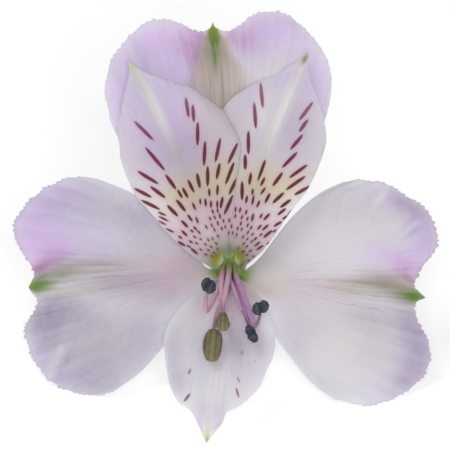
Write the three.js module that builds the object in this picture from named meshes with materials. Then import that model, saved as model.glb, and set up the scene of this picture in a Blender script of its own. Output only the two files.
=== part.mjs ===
// A single alstroemeria flower, picked with its own short stalk and laid on a table.
// Millimetres, +Z up, the table at z = 0. The face looks towards -Y and up, and the stalk
// lies on the table towards +Y.
//
// The tepals, stamens and style are drawn in the flower's own frame: x to the right and y up
// across the open face, z out of the face, with the origin where the tepals join the ovary.
import * as THREE from "three";

// ---- driving dimensions -------------------------------------------------------------
const FACE_TILT = THREE.MathUtils.degToRad(35); // how far the face looks up from level
const RING_RADIUS = 2.2; // the six tepals stand in a ring of this radius on the ovary
const CLAW_HALF_WIDTH = 0.7; // half the width of a tepal where it joins the ovary
const TEPAL_THICKNESS = 0.6;
const JOIN_GAP = 0.3; // clearance between two organs that grow from one another
const TOOTH_HEIGHT = 0.32; // the small teeth along the outer rim
const OVARY_LENGTH = 7;
const OVARY_RADIUS = 2.6;
const OVARY_RIBS = 6;
const STALK_RADIUS = 1.15;
const STALK_LENGTH_ON_TABLE = 36;
const STALK_DRIFT = 3; // how far the lying stalk drifts sideways by its cut end
const FILAMENT_RADIUS = 0.38;
const FILAMENT_TAPER = 0.25; // share of its radius a filament loses by its tip
const FILAMENT_RING_RADIUS = 1.05;
const STYLE_RADIUS = 0.3;
const THREAD_STEPS = 16; // rings of points along a filament or the style

// Rows of a tepal's mesh from claw to rim: close together where the funnel is steep.
const ROWS = [0, 0.05, 0.11, 0.19, 0.3, 0.44, 0.6, 0.77, 0.9, 1];
const COLUMN_CROWDING = 1.3; // above 1, the columns of the mesh crowd towards the midrib

// ---- colours ------------------------------------------------------------------------
function finish(color, roughness) {
  return new THREE.MeshStandardMaterial({ color, roughness, metalness: 0 });
}
const LILAC = 0xd6c6e2;
const WHITE_LILAC = 0xe4dde8;
const PALE_WHITE = 0xe9e9ee;
const FILAMENT_PINK = 0xc79bc4;
const POLLEN_BLUE = 0x454a5a;
const POLLEN_OLIVE = 0x837a58;
const STALK_GREEN = 0x7d9a4e;
const OVARY_GREEN = 0x86a355;
const STYLE_PINK = 0xd9bccb;

// ---- the tepals' outlines -----------------------------------------------------------
// Each tepal has a midrib and two halves, left and right as seen from its claw looking to
// its tip with the face towards the viewer. side runs from the claw up to the shoulder,
// and rim from the tip back down to the same shoulder.
//
// The bowl of a tepal is deep near the claw and flattens outwards:
// cup is its depth, flare how soon it opens, lean how it goes on rising, and recurve how
// far it has bent back at RECURVE_REACH. tilt turns one half forward and the other back.
// dome swells each half forward, furrow sinks the midrib, and ripple waves the rim.
const RECURVE_REACH = 30;
const FURROW_WIDTH = 0.1; // as a share of the half's width
const RIPPLE_WAVES = 9; // radians of wave from the midrib to the side
const RIPPLE_SHIFT = 0.7; // sets the waves of the tepals out of step
const OUTER_TOP = {
  angle: 90,
  tip: [-2.6, 39.0],
  midrib: [[-0.1, 5.0], [-0.3, 11.0], [-0.8, 19.0], [-1.5, 29.0], [-2.3, 36.5]],
  left: {
    side: [[-0.75, 3.8], [-1.4, 5.6], [-4.2, 8.8], [-8.9, 12.0], [-13.9, 15.2], [-17.4, 18.8]],
    rim: [
      [-3.2, 37.9], [-5.2, 37.6], [-7.6, 38.8], [-9.6, 39.4], [-12.6, 39.3], [-14.8, 37.9],
      [-16.9, 35.6], [-18.9, 33.0], [-19.5, 30.4], [-19.9, 28.0], [-19.4, 25.4], [-18.6, 22.4],
      [-17.8, 20.4],
    ],
  },
  right: {
    side: [[0.75, 3.8], [1.4, 5.6], [4.4, 9.0], [9.9, 13.7], [13.7, 18.6], [15.4, 23.7]],
    rim: [
      [-2.1, 38.1], [-0.2, 37.7], [1.8, 38.7], [3.7, 40.1], [5.6, 40.8], [9.0, 40.4],
      [10.9, 39.1], [12.3, 37.8], [14.2, 35.7], [15.6, 33.3], [16.3, 30.5], [16.3, 27.8],
    ],
  },
  bowl: { cup: 17.5, flare: 7, lean: 0.12, recurve: 1, tilt: 0 },
  dome: 1.3,
  furrow: 0.9,
  ripple: 0.35,
  columns: 20,
};

const OUTER_LEFT = {
  angle: 210,
  tip: [-32.1, -3.4],
  midrib: [[-4.6, -1.2], [-10.0, -1.3], [-17.0, -1.8], [-24.0, -2.6], [-29.5, -3.2]],
  left: {
    side: [
      [-2.2, -3.0], [-3.4, -5.0], [-5.4, -7.4], [-7.9, -9.9], [-10.6, -13.1], [-14.4, -17.2],
      [-18.6, -20.2],
    ],
    rim: [
      [-31.5, -4.4], [-30.8, -5.8], [-31.4, -7.5], [-32.6, -9.2], [-32.8, -11.0],
      [-32.2, -13.3], [-31.2, -15.6], [-29.0, -18.0], [-26.7, -19.7], [-23.8, -20.6], [-21.0, -20.8],
    ],
  },
  right: {
    side: [
      [-2.9, -0.7], [-4.1, 0.3], [-6.2, 3.0], [-9.4, 6.5], [-12.6, 9.3], [-15.8, 11.8],
      [-21.1, 13.9],
    ],
    rim: [
      [-31.6, -2.4], [-31.4, -1.0], [-32.3, 0.8], [-33.6, 2.7], [-34.5, 4.6], [-34.6, 6.6],
      [-33.7, 8.4], [-32.1, 10.4], [-30.2, 12.1], [-28.3, 13.1], [-26.2, 14.0], [-23.8, 14.3],
    ],
  },
  bowl: { cup: 17, flare: 6, lean: 0.12, recurve: 5.8, tilt: 2 },
  dome: 1.2,
  furrow: 0.7,
  ripple: 0.3,
  columns: 20,
};

const OUTER_RIGHT = {
  angle: 324,
  tip: [31.5, -5.1],
  midrib: [[4.6, -2.0], [9.6, -2.6], [16.0, -3.3], [23.0, -4.2], [28.8, -4.9]],
  left: {
    side: [[3.7, -0.1], [5.8, 2.0], [7.7, 4.5], [9.9, 7.5], [12.6, 10.1], [15.3, 12.1], [18.2, 13.4]],
    rim: [
      [30.4, -4.2], [29.9, -2.9], [30.6, -1.0], [31.9, 0.9], [33.1, 2.6], [33.6, 4.2],
      [33.2, 6.2], [32.2, 8.4], [30.9, 9.9], [28.4, 11.3], [25.6, 13.0], [23.2, 13.6],
      [20.6, 13.8],
    ],
  },
  right: {
    side: [
      [2.2, -2.9], [3.4, -4.9], [5.3, -8.1], [7.4, -11.4], [9.8, -14.6], [13.2, -18.6],
      [17.1, -21.4],
    ],
    rim: [
      [30.6, -5.9], [29.9, -7.2], [30.6, -9.3], [31.7, -11.2], [32.3, -13.3], [32.2, -15.6],
      [31.2, -17.7], [29.4, -19.5], [26.8, -21.1], [23.8, -22.2], [21.2, -22.3],
    ],
  },
  bowl: { cup: 17, flare: 6, lean: 0.12, recurve: 4.8, tilt: 0 },
  dome: 1.2,
  furrow: 0.7,
  ripple: 0.3,
  columns: 20,
};

const INNER_LEFT = {
  angle: 150,
  tip: [-16.2, 33.0],
  midrib: [[-3.2, 4.6], [-5.0, 10.6], [-7.4, 17.0], [-9.9, 22.1], [-12.6, 27.4], [-14.6, 30.7]],
  left: {
    side: [
      [-3.5, 0.4], [-6.2, 1.9], [-9.8, 5.3], [-12.6, 8.6], [-15.0, 11.4], [-16.6, 15.0],
      [-17.3, 17.4],
    ],
    rim: [[-15.9, 31.4], [-16.2, 29.4], [-16.8, 26.9], [-17.3, 24.2], [-17.6, 21.8], [-17.5, 19.7]],
  },
  right: {
    side: [
      [-1.5, 2.7], [-1.1, 4.0], [-0.4, 6.2], [0.5, 9.0], [1.0, 13.0], [1.6, 17.0], [1.6, 20.0],
      [-1.0, 24.9],
    ],
    rim: [
      [-15.2, 32.0], [-13.4, 30.9], [-10.2, 29.8], [-8.2, 29.0], [-6.2, 28.6], [-4.6, 27.5],
      [-2.4, 25.9],
    ],
  },
  bowl: { cup: 20, flare: 4.2, lean: 0.12, recurve: 0.6, tilt: 0.6 },
  dome: 0.9,
  furrow: 0.7,
  ripple: 0.15,
  columns: 14,
};

const INNER_RIGHT = {
  angle: 30,
  tip: [12.8, 34.7],
  midrib: [[2.9, 5.0], [4.3, 12.2], [5.9, 18.6], [8.2, 24.2], [9.6, 27.4], [11.2, 31.2]],
  left: {
    side: [
      [1.5, 2.7], [1.1, 4.0], [0.5, 6.2], [-0.4, 9.0], [-1.1, 13.0], [-1.4, 17.8], [-1.4, 21.8],
      [-1.0, 25.0],
    ],
    rim: [
      [11.5, 33.0], [9.9, 32.2], [8.4, 31.1], [6.9, 30.2], [5.3, 29.8], [3.0, 28.5],
      [0.7, 27.0],
    ],
  },
  right: {
    side: [[3.4, 0.9], [5.4, 2.9], [7.7, 5.9], [9.9, 8.8], [12.2, 11.7], [13.8, 14.7], [14.9, 17.8]],
    rim: [[12.6, 32.6], [12.8, 30.7], [13.3, 28.8], [14.1, 26.6], [15.0, 24.0], [15.5, 20.6]],
  },
  bowl: { cup: 20, flare: 4.2, lean: 0.12, recurve: 0.6, tilt: 0.9 },
  dome: 0.9,
  furrow: 0.7,
  ripple: 0.15,
  columns: 14,
};

const INNER_LOWER = {
  angle: 270,
  tip: [-3.6, -28.2],
  midrib: [[-0.5, -5.4], [-1.3, -10.2], [-2.1, -16.6], [-2.9, -22.2]],
  left: {
    side: [
      [0.9, -2.9], [2.3, -3.3], [4.3, -4.2], [5.9, -6.6], [6.7, -8.6], [7.3, -10.7], [7.4, -12.8],
    ],
    rim: [
      [-2.6, -26.9], [-1.1, -25.1], [-0.3, -23.3], [1.6, -22.4], [3.7, -20.6], [5.1, -19.0],
      [5.9, -16.9], [6.9, -14.9],
    ],
  },
  right: {
    side: [
      [-0.9, -2.9], [-2.5, -3.2], [-4.6, -4.0], [-6.4, -5.3], [-8.0, -6.8], [-9.4, -8.8],
      [-10.2, -11.0], [-10.3, -13.4],
    ],
    rim: [[-4.3, -26.7], [-5.1, -24.8], [-6.2, -23.0], [-8.0, -21.8], [-9.3, -19.5], [-9.9, -16.8]],
  },
  bowl: { cup: 19.5, flare: 4.2, lean: 0.21, recurve: 0, tilt: 0 },
  dome: 0.5,
  furrow: 0.5,
  ripple: 0.25,
  columns: 14,
};

// ---- a tepal ------------------------------------------------------------------------
function smoothstep(from, to, x) {
  return THREE.MathUtils.smoothstep(x, from, to);
}

function planePoint([x, y]) {
  return new THREE.Vector2(x, y);
}

function clawLine(tepal) {
  const angle = THREE.MathUtils.degToRad(tepal.angle);
  const axis = new THREE.Vector2(Math.cos(angle), Math.sin(angle));
  const toRight = new THREE.Vector2(axis.y, -axis.x);
  const centre = axis.clone().multiplyScalar(RING_RADIUS);
  return { axis, toRight, centre };
}

// One half of a tepal as four curves that bound it: claw, rim, midrib and side.
function halfTepal(tepal, claw, half, direction) {
  const corner = claw.centre.clone().addScaledVector(claw.toRight, direction * CLAW_HALF_WIDTH);
  const tip = planePoint(tepal.tip);
  const side = new THREE.SplineCurve([corner, ...half.side.map(planePoint)]);
  const shoulder = side.points.at(-1);
  const rim = new THREE.SplineCurve([tip, ...half.rim.map(planePoint), shoulder]);
  const midrib = new THREE.SplineCurve([claw.centre, ...tepal.midrib.map(planePoint), tip]);
  return { corner, tip, shoulder, side, rim, midrib, centre: claw.centre };
}

// The point of a half at q (0 on the midrib, 1 on the side) and t (0 at the claw, 1 on the rim).
function planAt(half, q, t) {
  const point = new THREE.Vector2();
  point.addScaledVector(half.centre.clone().lerp(half.corner, q), 1 - t);
  point.addScaledVector(half.rim.getPointAt(q), t);
  point.addScaledVector(half.midrib.getPointAt(t), 1 - q);
  point.addScaledVector(half.side.getPointAt(t), q);
  point.addScaledVector(half.centre, -(1 - t) * (1 - q));
  point.addScaledVector(half.corner, -(1 - t) * q);
  point.addScaledVector(half.tip, -t * (1 - q));
  point.addScaledVector(half.shoulder, -t * q);
  return point;
}

// How far the face stands out at a point of the tepal. s runs from -1 on the left side to 1
// on the right one.
function depthAt(tepal, claw, plan, s, t) {
  const { cup, flare, lean, recurve, tilt } = tepal.bowl;
  const along = plan.dot(claw.axis);
  const reach = THREE.MathUtils.lerp(along, plan.length(), smoothstep(0, 0.08, t));
  const out = Math.max(reach - RING_RADIUS, 0);
  const open = smoothstep(0.1, 0.6, t);
  const q = Math.abs(s);
  let depth = cup * (1 - Math.exp(-out / flare)) + lean * out;
  depth -= recurve * Math.pow(reach / RECURVE_REACH, 4);
  depth += tilt * s * open;
  depth += tepal.dome * Math.sin(Math.PI * q) * open;
  depth -= tepal.furrow * Math.exp(-Math.pow(q / FURROW_WIDTH, 2)) * open;
  const wave = Math.sin(RIPPLE_WAVES * s + RIPPLE_SHIFT * tepal.angle);
  depth += tepal.ripple * wave * q * Math.pow(t, 3);
  return depth;
}

// The two upper inner tepals lap over each other along the middle of the flower: the left
// one's edge stands forward there and the right one's lies back behind it.
const LAP_RISE = 1.1;
const LAP_FALL = 0.77;
function lapAt(tepal, s, t) {
  const raised = smoothstep(0.1, 0.3, t);
  if (tepal === INNER_LEFT) return LAP_RISE * smoothstep(0.5, 1, s) * raised;
  if (tepal === INNER_RIGHT) return -LAP_FALL * smoothstep(0.5, 1, -s) * raised;
  return 0;
}

function middleSurface(tepal) {
  const claw = clawLine(tepal);
  const left = halfTepal(tepal, claw, tepal.left, -1);
  const right = halfTepal(tepal, claw, tepal.right, 1);
  const across = 2 * tepal.columns;
  return ROWS.map((t) => {
    const row = [];
    for (let i = 0; i <= across; i++) {
      const x = i / tepal.columns - 1;
      const s = Math.sign(x) * Math.pow(Math.abs(x), COLUMN_CROWDING);
      const half = s < 0 ? left : right;
      const plan = planAt(half, Math.abs(s), t);
      const depth = depthAt(tepal, claw, plan, s, t) + lapAt(tepal, s, t);
      const onRim = t === 1 && i > 0 && i < across && i !== tepal.columns;
      if (onRim) plan.setLength(plan.length() + (i % 2 === 1 ? 0.5 : -0.5) * TOOTH_HEIGHT);
      row.push(new THREE.Vector3(plan.x, plan.y, depth + JOIN_GAP));
    }
    return row;
  });
}

// The normal of a grid of points at row j, column i, towards the face.
function gridNormal(rows, j, i) {
  const below = rows[Math.max(j - 1, 0)][i];
  const above = rows[Math.min(j + 1, rows.length - 1)][i];
  const before = rows[j][Math.max(i - 1, 0)];
  const after = rows[j][Math.min(i + 1, rows[j].length - 1)];
  const acrossStep = after.clone().sub(before);
  return acrossStep.cross(above.clone().sub(below)).normalize();
}

// A blade of even thickness, with both faces split into triangles alike.
function bladeGeometry(rows, thickness) {
  const width = rows[0].length;
  const count = rows.length * width;
  const positions = [];
  for (const face of [0.5, -0.5]) {
    rows.forEach((row, j) => {
      row.forEach((point, i) => {
        const shifted = point.clone().addScaledVector(gridNormal(rows, j, i), face * thickness);
        positions.push(shifted.x, shifted.y, shifted.z);
      });
    });
  }
  const index = [];
  for (let j = 0; j < rows.length - 1; j++) {
    for (let i = 0; i < width - 1; i++) {
      const a = j * width + i;
      const b = a + 1;
      const c = b + width;
      const d = a + width;
      index.push(a, b, c, a, c, d);
      index.push(count + a, count + c, count + b, count + a, count + d, count + c);
    }
  }
  const edge = boundaryLoop(rows.length, width);
  edge.forEach((a, k) => {
    const b = edge[(k + 1) % edge.length];
    index.push(count + a, count + b, b, count + a, b, a);
  });
  return closedGeometry(positions, index);
}

// The grid's outer edge, anticlockwise as seen from the face.
function boundaryLoop(height, width) {
  const loop = [];
  for (let i = 0; i < width - 1; i++) loop.push(i);
  for (let j = 0; j < height - 1; j++) loop.push(j * width + width - 1);
  for (let i = width - 1; i > 0; i--) loop.push((height - 1) * width + i);
  for (let j = height - 1; j > 0; j--) loop.push(j * width);
  return loop;
}

function closedGeometry(positions, index) {
  const geometry = new THREE.BufferGeometry();
  geometry.setAttribute("position", new THREE.Float32BufferAttribute(positions, 3));
  geometry.setIndex(index);
  geometry.computeVertexNormals();
  return geometry;
}

// ---- round organs -------------------------------------------------------------------
// A closed skin over rings of points. Each ring runs anticlockwise about the way to the next.
function loftGeometry(rings) {
  const sides = rings[0].length;
  const positions = rings.flat().flatMap((p) => [p.x, p.y, p.z]);
  const index = [];
  for (let j = 0; j < rings.length - 1; j++) {
    for (let i = 0; i < sides; i++) {
      const a = j * sides + i;
      const b = j * sides + ((i + 1) % sides);
      index.push(a, b, b + sides, a, b + sides, a + sides);
    }
  }
  for (const [ring, first] of [[rings[0], true], [rings.at(-1), false]]) {
    const start = first ? 0 : (rings.length - 1) * sides;
    const middle = ring.reduce((sum, p) => sum.add(p), new THREE.Vector3()).divideScalar(sides);
    const centre = positions.length / 3;
    positions.push(middle.x, middle.y, middle.z);
    for (let i = 0; i < sides; i++) {
      const a = start + i;
      const b = start + ((i + 1) % sides);
      if (first) index.push(centre, b, a);
      else index.push(centre, a, b);
    }
  }
  return closedGeometry(positions, index);
}

// A ring of points about centre, in the plane of across and up. Its points stand half a step
// off across, so a ring of an even number of sides is flat above, below and at both sides.
function ringAt(centre, across, up, sides, radiusAt) {
  const ring = [];
  for (let i = 0; i < sides; i++) {
    const angle = (2 * Math.PI * (i + 0.5)) / sides;
    const radius = radiusAt(angle);
    const point = centre.clone();
    point.addScaledVector(across, radius * Math.cos(angle));
    point.addScaledVector(up, radius * Math.sin(angle));
    ring.push(point);
  }
  return ring;
}

// A thread along a curve. radiusAt gives its radius at t along it and at an angle round it.
function threadGeometry(points, sides, radiusAt) {
  const curve = new THREE.CatmullRomCurve3(points, false, "centripetal");
  const { normals, binormals } = curve.computeFrenetFrames(THREAD_STEPS, false);
  const rings = [];
  for (let k = 0; k <= THREAD_STEPS; k++) {
    const t = k / THREAD_STEPS;
    const radiusAround = (angle) => radiusAt(t, angle);
    rings.push(ringAt(curve.getPointAt(t), normals[k], binormals[k], sides, radiusAround));
  }
  return loftGeometry(rings);
}

// ---- stamens ------------------------------------------------------------------------
// ring is where the filament starts on the ovary, path its course out of the throat, and
// anther the middle of the anther, with the way its length and its width run.
const OPEN_ANTHER = {
  length: 2.9, width: 2.5, thickness: 1.8, cleft: 0.3, blunt: 0.5, color: POLLEN_BLUE,
};
const CLOSED_ANTHER = {
  length: 5.5, width: 3.1, thickness: 2.1, cleft: 0.16, blunt: 0.42, color: POLLEN_OLIVE,
};
const STAMENS = [
  {
    name: "left",
    ring: 210,
    path: [
      [-1.0, -1.4, 4], [-1.3, -2.8, 10], [-2.1, -4.5, 16], [-3.1, -6.5, 21], [-3.65, -7.1, 23.4],
      [-3.7, -5.75, 25.4], [-3.6, -4.75, 26.1],
    ],
    anther: {
      ...OPEN_ANTHER,
      centre: [-3.25, -3.1, 27.0], along: [0.25, 0.85, 0.45], across: [0.75, -0.45, 0.3],
    },
  },
  {
    name: "lower_left",
    ring: 270,
    path: [
      [0, -2.0, 4], [-0.1, -3.5, 9.5], [-0.7, -5.4, 14.6], [-1.8, -7.5, 18.4], [-2.5, -9.5, 20.9],
    ],
    anther: {
      ...CLOSED_ANTHER,
      centre: [-2.6, -12.6, 22.9], along: [-0.1, -0.92, 0.36], across: [1, -0.1, 0],
    },
  },
  {
    name: "lower_right",
    ring: 330,
    path: [
      [0.95, -1.6, 4], [1.1, -3.1, 10], [1.6, -5.2, 15.5], [2.5, -7.4, 20], [3.1, -9.0, 22.6],
    ],
    anther: {
      ...OPEN_ANTHER, width: 2.0,
      centre: [3.6, -10.8, 24.0], along: [0.3, -0.85, 0.45], across: [1, 0.2, -0.3],
    },
  },
  {
    name: "right",
    ring: 30,
    path: [
      [1.0, -0.5, 4], [1.25, -1.9, 10], [2.1, -4.2, 16], [3.2, -7.1, 21], [4.3, -9.5, 23.8],
      [4.9, -8.5, 25.9],
    ],
    anther: {
      ...OPEN_ANTHER, width: 2.8,
      centre: [5.0, -6.6, 27.4], along: [-0.1, 0.75, 0.65], across: [0.9, 0.35, -0.2],
    },
  },
  {
    name: "middle",
    ring: 90,
    path: [
      [0, 0.1, 4], [-0.1, -1.3, 10], [-0.4, -3.3, 16], [-0.75, -5.5, 20.6], [-1.0, -6.9, 23.2],
    ],
    anther: {
      ...CLOSED_ANTHER, length: 3.5, width: 2.2, thickness: 1.7,
      centre: [-1.0, -8.8, 24.9], along: [0, -0.85, 0.5], across: [1, 0, 0],
    },
  },
  {
    name: "behind",
    ring: 150,
    path: [
      [-0.95, -0.5, 4], [-1.1, -1.9, 10], [-1.2, -3.7, 15.2], [-1.1, -5.4, 18.4],
      [-0.95, -6.7, 20.3],
    ],
    anther: {
      ...CLOSED_ANTHER, length: 3.1, width: 1.7, thickness: 1.5,
      centre: [-0.9, -8.5, 21.6], along: [0, -0.85, 0.5], across: [1, 0, 0],
    },
  },
];
const FILAMENT_SIDES = 8;

function vectorOf([x, y, z]) {
  return new THREE.Vector3(x, y, z);
}

function ringPoint(angleInDegrees, radius, z) {
  const angle = THREE.MathUtils.degToRad(angleInDegrees);
  return new THREE.Vector3(radius * Math.cos(angle), radius * Math.sin(angle), z);
}

function filamentMesh(stamen) {
  const start = ringPoint(stamen.ring, FILAMENT_RING_RADIUS, JOIN_GAP);
  const points = [start, ...stamen.path.map(vectorOf)];
  const radiusAt = (t) => FILAMENT_RADIUS * (1 - FILAMENT_TAPER * t);
  const geometry = threadGeometry(points, FILAMENT_SIDES, radiusAt);
  return new THREE.Mesh(geometry, finish(FILAMENT_PINK, 0.5));
}

// An anther of two pollen sacs: an egg with a cleft down the middle of both faces.
const ANTHER_RINGS = [0.02, 0.1, 0.25, 0.45, 0.65, 0.82, 0.93, 0.985];
const ANTHER_SIDES = 14;
function antherMesh(anther) {
  const along = vectorOf(anther.along).normalize();
  const across = vectorOf(anther.across).projectOnPlane(along).normalize();
  const through = along.clone().cross(across);
  const rings = ANTHER_RINGS.map((t) => {
    const swell = Math.pow(Math.sin(Math.PI * t), anther.blunt);
    const centre = vectorOf(anther.centre).addScaledVector(along, (t - 0.5) * anther.length);
    return ringAt(centre, across, through, ANTHER_SIDES, (angle) => {
      const wide = (anther.width / 2) * Math.cos(angle);
      const thick = (anther.thickness / 2) * Math.sin(angle);
      const cleft = 1 - anther.cleft * Math.pow(Math.abs(Math.sin(angle)), 6);
      return swell * cleft * Math.hypot(wide, thick);
    });
  });
  return new THREE.Mesh(loftGeometry(rings), finish(anther.color, 0.85));
}

// ---- style, ovary and stalk ---------------------------------------------------------
const STYLE_PATH = [
  [0.05, -1.0, 4], [0.25, -2.3, 10], [0.8, -3.7, 15.6], [1.35, -5.3, 18.8], [1.9, -6.9, 21.0],
];
const STYLE_SIDES = 12;
const STIGMA_LOBES = 3;
const STIGMA_START = 0.88; // how far along the style its tip begins to swell into the stigma
const STIGMA_SWELL = 0.5;
function styleMesh() {
  const points = [new THREE.Vector3(0, 0, JOIN_GAP), ...STYLE_PATH.map(vectorOf)];
  const geometry = threadGeometry(points, STYLE_SIDES, (t, angle) => {
    const lobe = 0.5 + 0.5 * Math.cos(STIGMA_LOBES * angle);
    const stigma = smoothstep(STIGMA_START, 1, t);
    return STYLE_RADIUS * (1 - 0.2 * t + stigma * (0.1 + STIGMA_SWELL * lobe));
  });
  return new THREE.Mesh(geometry, finish(STYLE_PINK, 0.5));
}

// The ovary's outline: how far below the tepals, and how wide, as shares of its length and radius.
const OVARY_OUTLINE = [
  [1, 0.42], [0.9, 0.64], [0.72, 0.88], [0.5, 1], [0.3, 1.02], [0.12, 1], [0, 0.98],
];
const OVARY_RIB_HEIGHT = 0.09; // as a share of the radius, highest near the middle
function ovaryMesh() {
  const right = new THREE.Vector3(1, 0, 0);
  const up = new THREE.Vector3(0, 1, 0);
  const rings = OVARY_OUTLINE.map(([below, share]) => {
    const centre = new THREE.Vector3(0, 0, -below * OVARY_LENGTH);
    const ribHeight = OVARY_RIB_HEIGHT * Math.sin(Math.PI * (1 - below) * 0.8 + 0.25);
    return ringAt(centre, right, up, 4 * OVARY_RIBS, (angle) => {
      return OVARY_RADIUS * share * (1 + ribHeight * Math.cos(OVARY_RIBS * angle));
    });
  });
  return new THREE.Mesh(loftGeometry(rings), finish(OVARY_GREEN, 0.55));
}

// The stalk leaves the ovary along the flower's axis, bends level and lies on the table,
// where its underside is one flat strip.
const STALK_SIDES = 12;
const STALK_BEND_RUN = 13; // level distance from the ovary's foot to where the stalk lands
const STALK_BEND_START = 5; // how stiffly the bend leaves the ovary
const STALK_BEND_END = 6; // and how stiffly it arrives level
const STALK_BEND_STEPS = 8;
const STALK_STRAIGHT_SHARE = 0.5; // of its length on the table, before it drifts sideways
const STALK_SHARES = [0.5, 0.6, 0.7, 0.8, 0.9, 1];
function stalkMesh(ovaryFoot, axis) {
  const start = ovaryFoot.clone().addScaledVector(axis, JOIN_GAP);
  const landing = new THREE.Vector3(0, start.y + STALK_BEND_RUN, STALK_RADIUS);
  const bend = new THREE.CubicBezierCurve3(
    start,
    start.clone().addScaledVector(axis, STALK_BEND_START),
    landing.clone().add(new THREE.Vector3(0, -STALK_BEND_END, 0)),
    landing,
  );
  const centres = [];
  for (let k = 0; k <= STALK_BEND_STEPS; k++) centres.push(bend.getPointAt(k / STALK_BEND_STEPS));
  for (const share of STALK_SHARES) {
    const along = landing.y + share * STALK_LENGTH_ON_TABLE;
    const drifting = (share - STALK_STRAIGHT_SHARE) / (1 - STALK_STRAIGHT_SHARE);
    centres.push(new THREE.Vector3(STALK_DRIFT * drifting * drifting, along, STALK_RADIUS));
  }
  const rings = centres.map((centre, k) => {
    const before = centres[Math.max(k - 1, 0)];
    const after = centres[Math.min(k + 1, centres.length - 1)];
    const ahead = after.clone().sub(before).normalize();
    if (k >= STALK_BEND_STEPS) ahead.setZ(0).normalize();
    if (k === 0) ahead.copy(axis);
    const across = ahead.clone().cross(new THREE.Vector3(0, 0, 1)).normalize();
    const up = across.clone().cross(ahead);
    const radius = STALK_RADIUS / Math.cos(Math.PI / STALK_SIDES);
    return ringAt(centre, across.negate(), up, STALK_SIDES, () => radius);
  });
  return new THREE.Mesh(loftGeometry(rings), finish(STALK_GREEN, 0.5));
}

// ---- the flower ---------------------------------------------------------------------
function named(mesh, name) {
  mesh.name = name;
  return mesh;
}

function tepalMesh(tepal, color) {
  const geometry = bladeGeometry(middleSurface(tepal), TEPAL_THICKNESS);
  return new THREE.Mesh(geometry, finish(color, 0.6));
}

const flower = new THREE.Group();
flower.add(named(tepalMesh(OUTER_TOP, LILAC), "outer_tepal_top"));
flower.add(named(tepalMesh(OUTER_LEFT, LILAC), "outer_tepal_left"));
flower.add(named(tepalMesh(OUTER_RIGHT, LILAC), "outer_tepal_right"));
flower.add(named(tepalMesh(INNER_LEFT, WHITE_LILAC), "inner_tepal_upper_left"));
flower.add(named(tepalMesh(INNER_RIGHT, WHITE_LILAC), "inner_tepal_upper_right"));
flower.add(named(tepalMesh(INNER_LOWER, PALE_WHITE), "inner_tepal_lower"));
for (const stamen of STAMENS) {
  flower.add(named(filamentMesh(stamen), "filament_" + stamen.name));
  flower.add(named(antherMesh(stamen.anther), "anther_" + stamen.name));
}
flower.add(named(styleMesh(), "style"));
flower.add(named(ovaryMesh(), "ovary"));

// The flower leans back on its stalk until its lowest tepals touch the table.
flower.rotation.x = Math.PI / 2 - FACE_TILT;
flower.updateMatrixWorld(true);
flower.position.z = -new THREE.Box3().setFromObject(flower, true).min.z;
flower.updateMatrixWorld(true);

const ovaryFoot = flower.localToWorld(new THREE.Vector3(0, 0, -OVARY_LENGTH));
const axis = new THREE.Vector3(0, Math.cos(FACE_TILT), -Math.sin(FACE_TILT));

const part = new THREE.Group();
part.add(flower);
part.add(named(stalkMesh(ovaryFoot, axis), "stalk"));

// The origin is on the table, under the middle of the whole flower and stalk.
const middle = new THREE.Box3().setFromObject(part, true).getCenter(new THREE.Vector3());
part.position.set(-middle.x, -middle.y, 0);

export default part;
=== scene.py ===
# %% [markdown]
# # A single alstroemeria flower, laid on a table
#
# The flower has six tepals (three broad outer ones and three narrow inner ones), six stamens,
# a style, a ribbed green ovary and the short stalk that it was picked with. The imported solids
# give every piece its place and its main shape. This script puts a finer piece over each one
# and gives it the colours and the small relief of the living flower.

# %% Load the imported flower
import math

import bpy
import numpy as np
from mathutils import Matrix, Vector
from mathutils.bvhtree import BVHTree


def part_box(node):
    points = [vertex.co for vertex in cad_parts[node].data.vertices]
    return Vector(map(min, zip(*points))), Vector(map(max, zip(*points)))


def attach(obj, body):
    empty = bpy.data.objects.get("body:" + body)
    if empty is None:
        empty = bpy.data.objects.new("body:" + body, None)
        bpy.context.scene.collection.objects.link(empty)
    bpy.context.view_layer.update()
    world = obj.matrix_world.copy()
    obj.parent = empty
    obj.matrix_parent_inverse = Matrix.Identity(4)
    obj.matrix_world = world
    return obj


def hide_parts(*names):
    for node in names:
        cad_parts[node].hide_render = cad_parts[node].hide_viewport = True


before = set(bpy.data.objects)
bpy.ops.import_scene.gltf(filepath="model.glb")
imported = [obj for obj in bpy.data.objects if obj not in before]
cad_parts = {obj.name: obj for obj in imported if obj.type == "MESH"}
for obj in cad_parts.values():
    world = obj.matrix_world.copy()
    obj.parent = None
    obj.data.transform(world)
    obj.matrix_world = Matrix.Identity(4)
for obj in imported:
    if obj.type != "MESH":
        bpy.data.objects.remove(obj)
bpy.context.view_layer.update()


# %% [markdown]
# ## The flower's own frame
#
# A flower is easiest to draw as its viewer sees it: x to the right, y up across the open face
# and z out of the face, in millimetres, from the point where the tepals join the ovary. The
# flower lies with its face turned up by 35 degrees. The ovary's solid tells where that point
# is, so the script stays in step with the solids.

# %% From the flower's frame to the table's
MM = 0.001
FACE_TILT = math.radians(35)
RIGHT = np.array([1.0, 0.0, 0.0])
UP = np.array([0.0, math.sin(FACE_TILT), math.cos(FACE_TILT)])
OUT = np.array([0.0, -math.cos(FACE_TILT), math.sin(FACE_TILT)])
OVARY_MIDDLE = np.array([0.0, 2.4652, -1.4515]) * MM  # from the flower's origin
ovary_low, ovary_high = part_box("ovary")
ORIGIN = np.array((ovary_low + ovary_high) / 2) - OVARY_MIDDLE


def placed(points):
    """Points of the flower's frame, in mm, as points on the table, in metres."""
    points = np.asarray(points, float)
    turned = points[..., :1] * RIGHT + points[..., 1:2] * UP + points[..., 2:3] * OUT
    return ORIGIN + turned * MM


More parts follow.
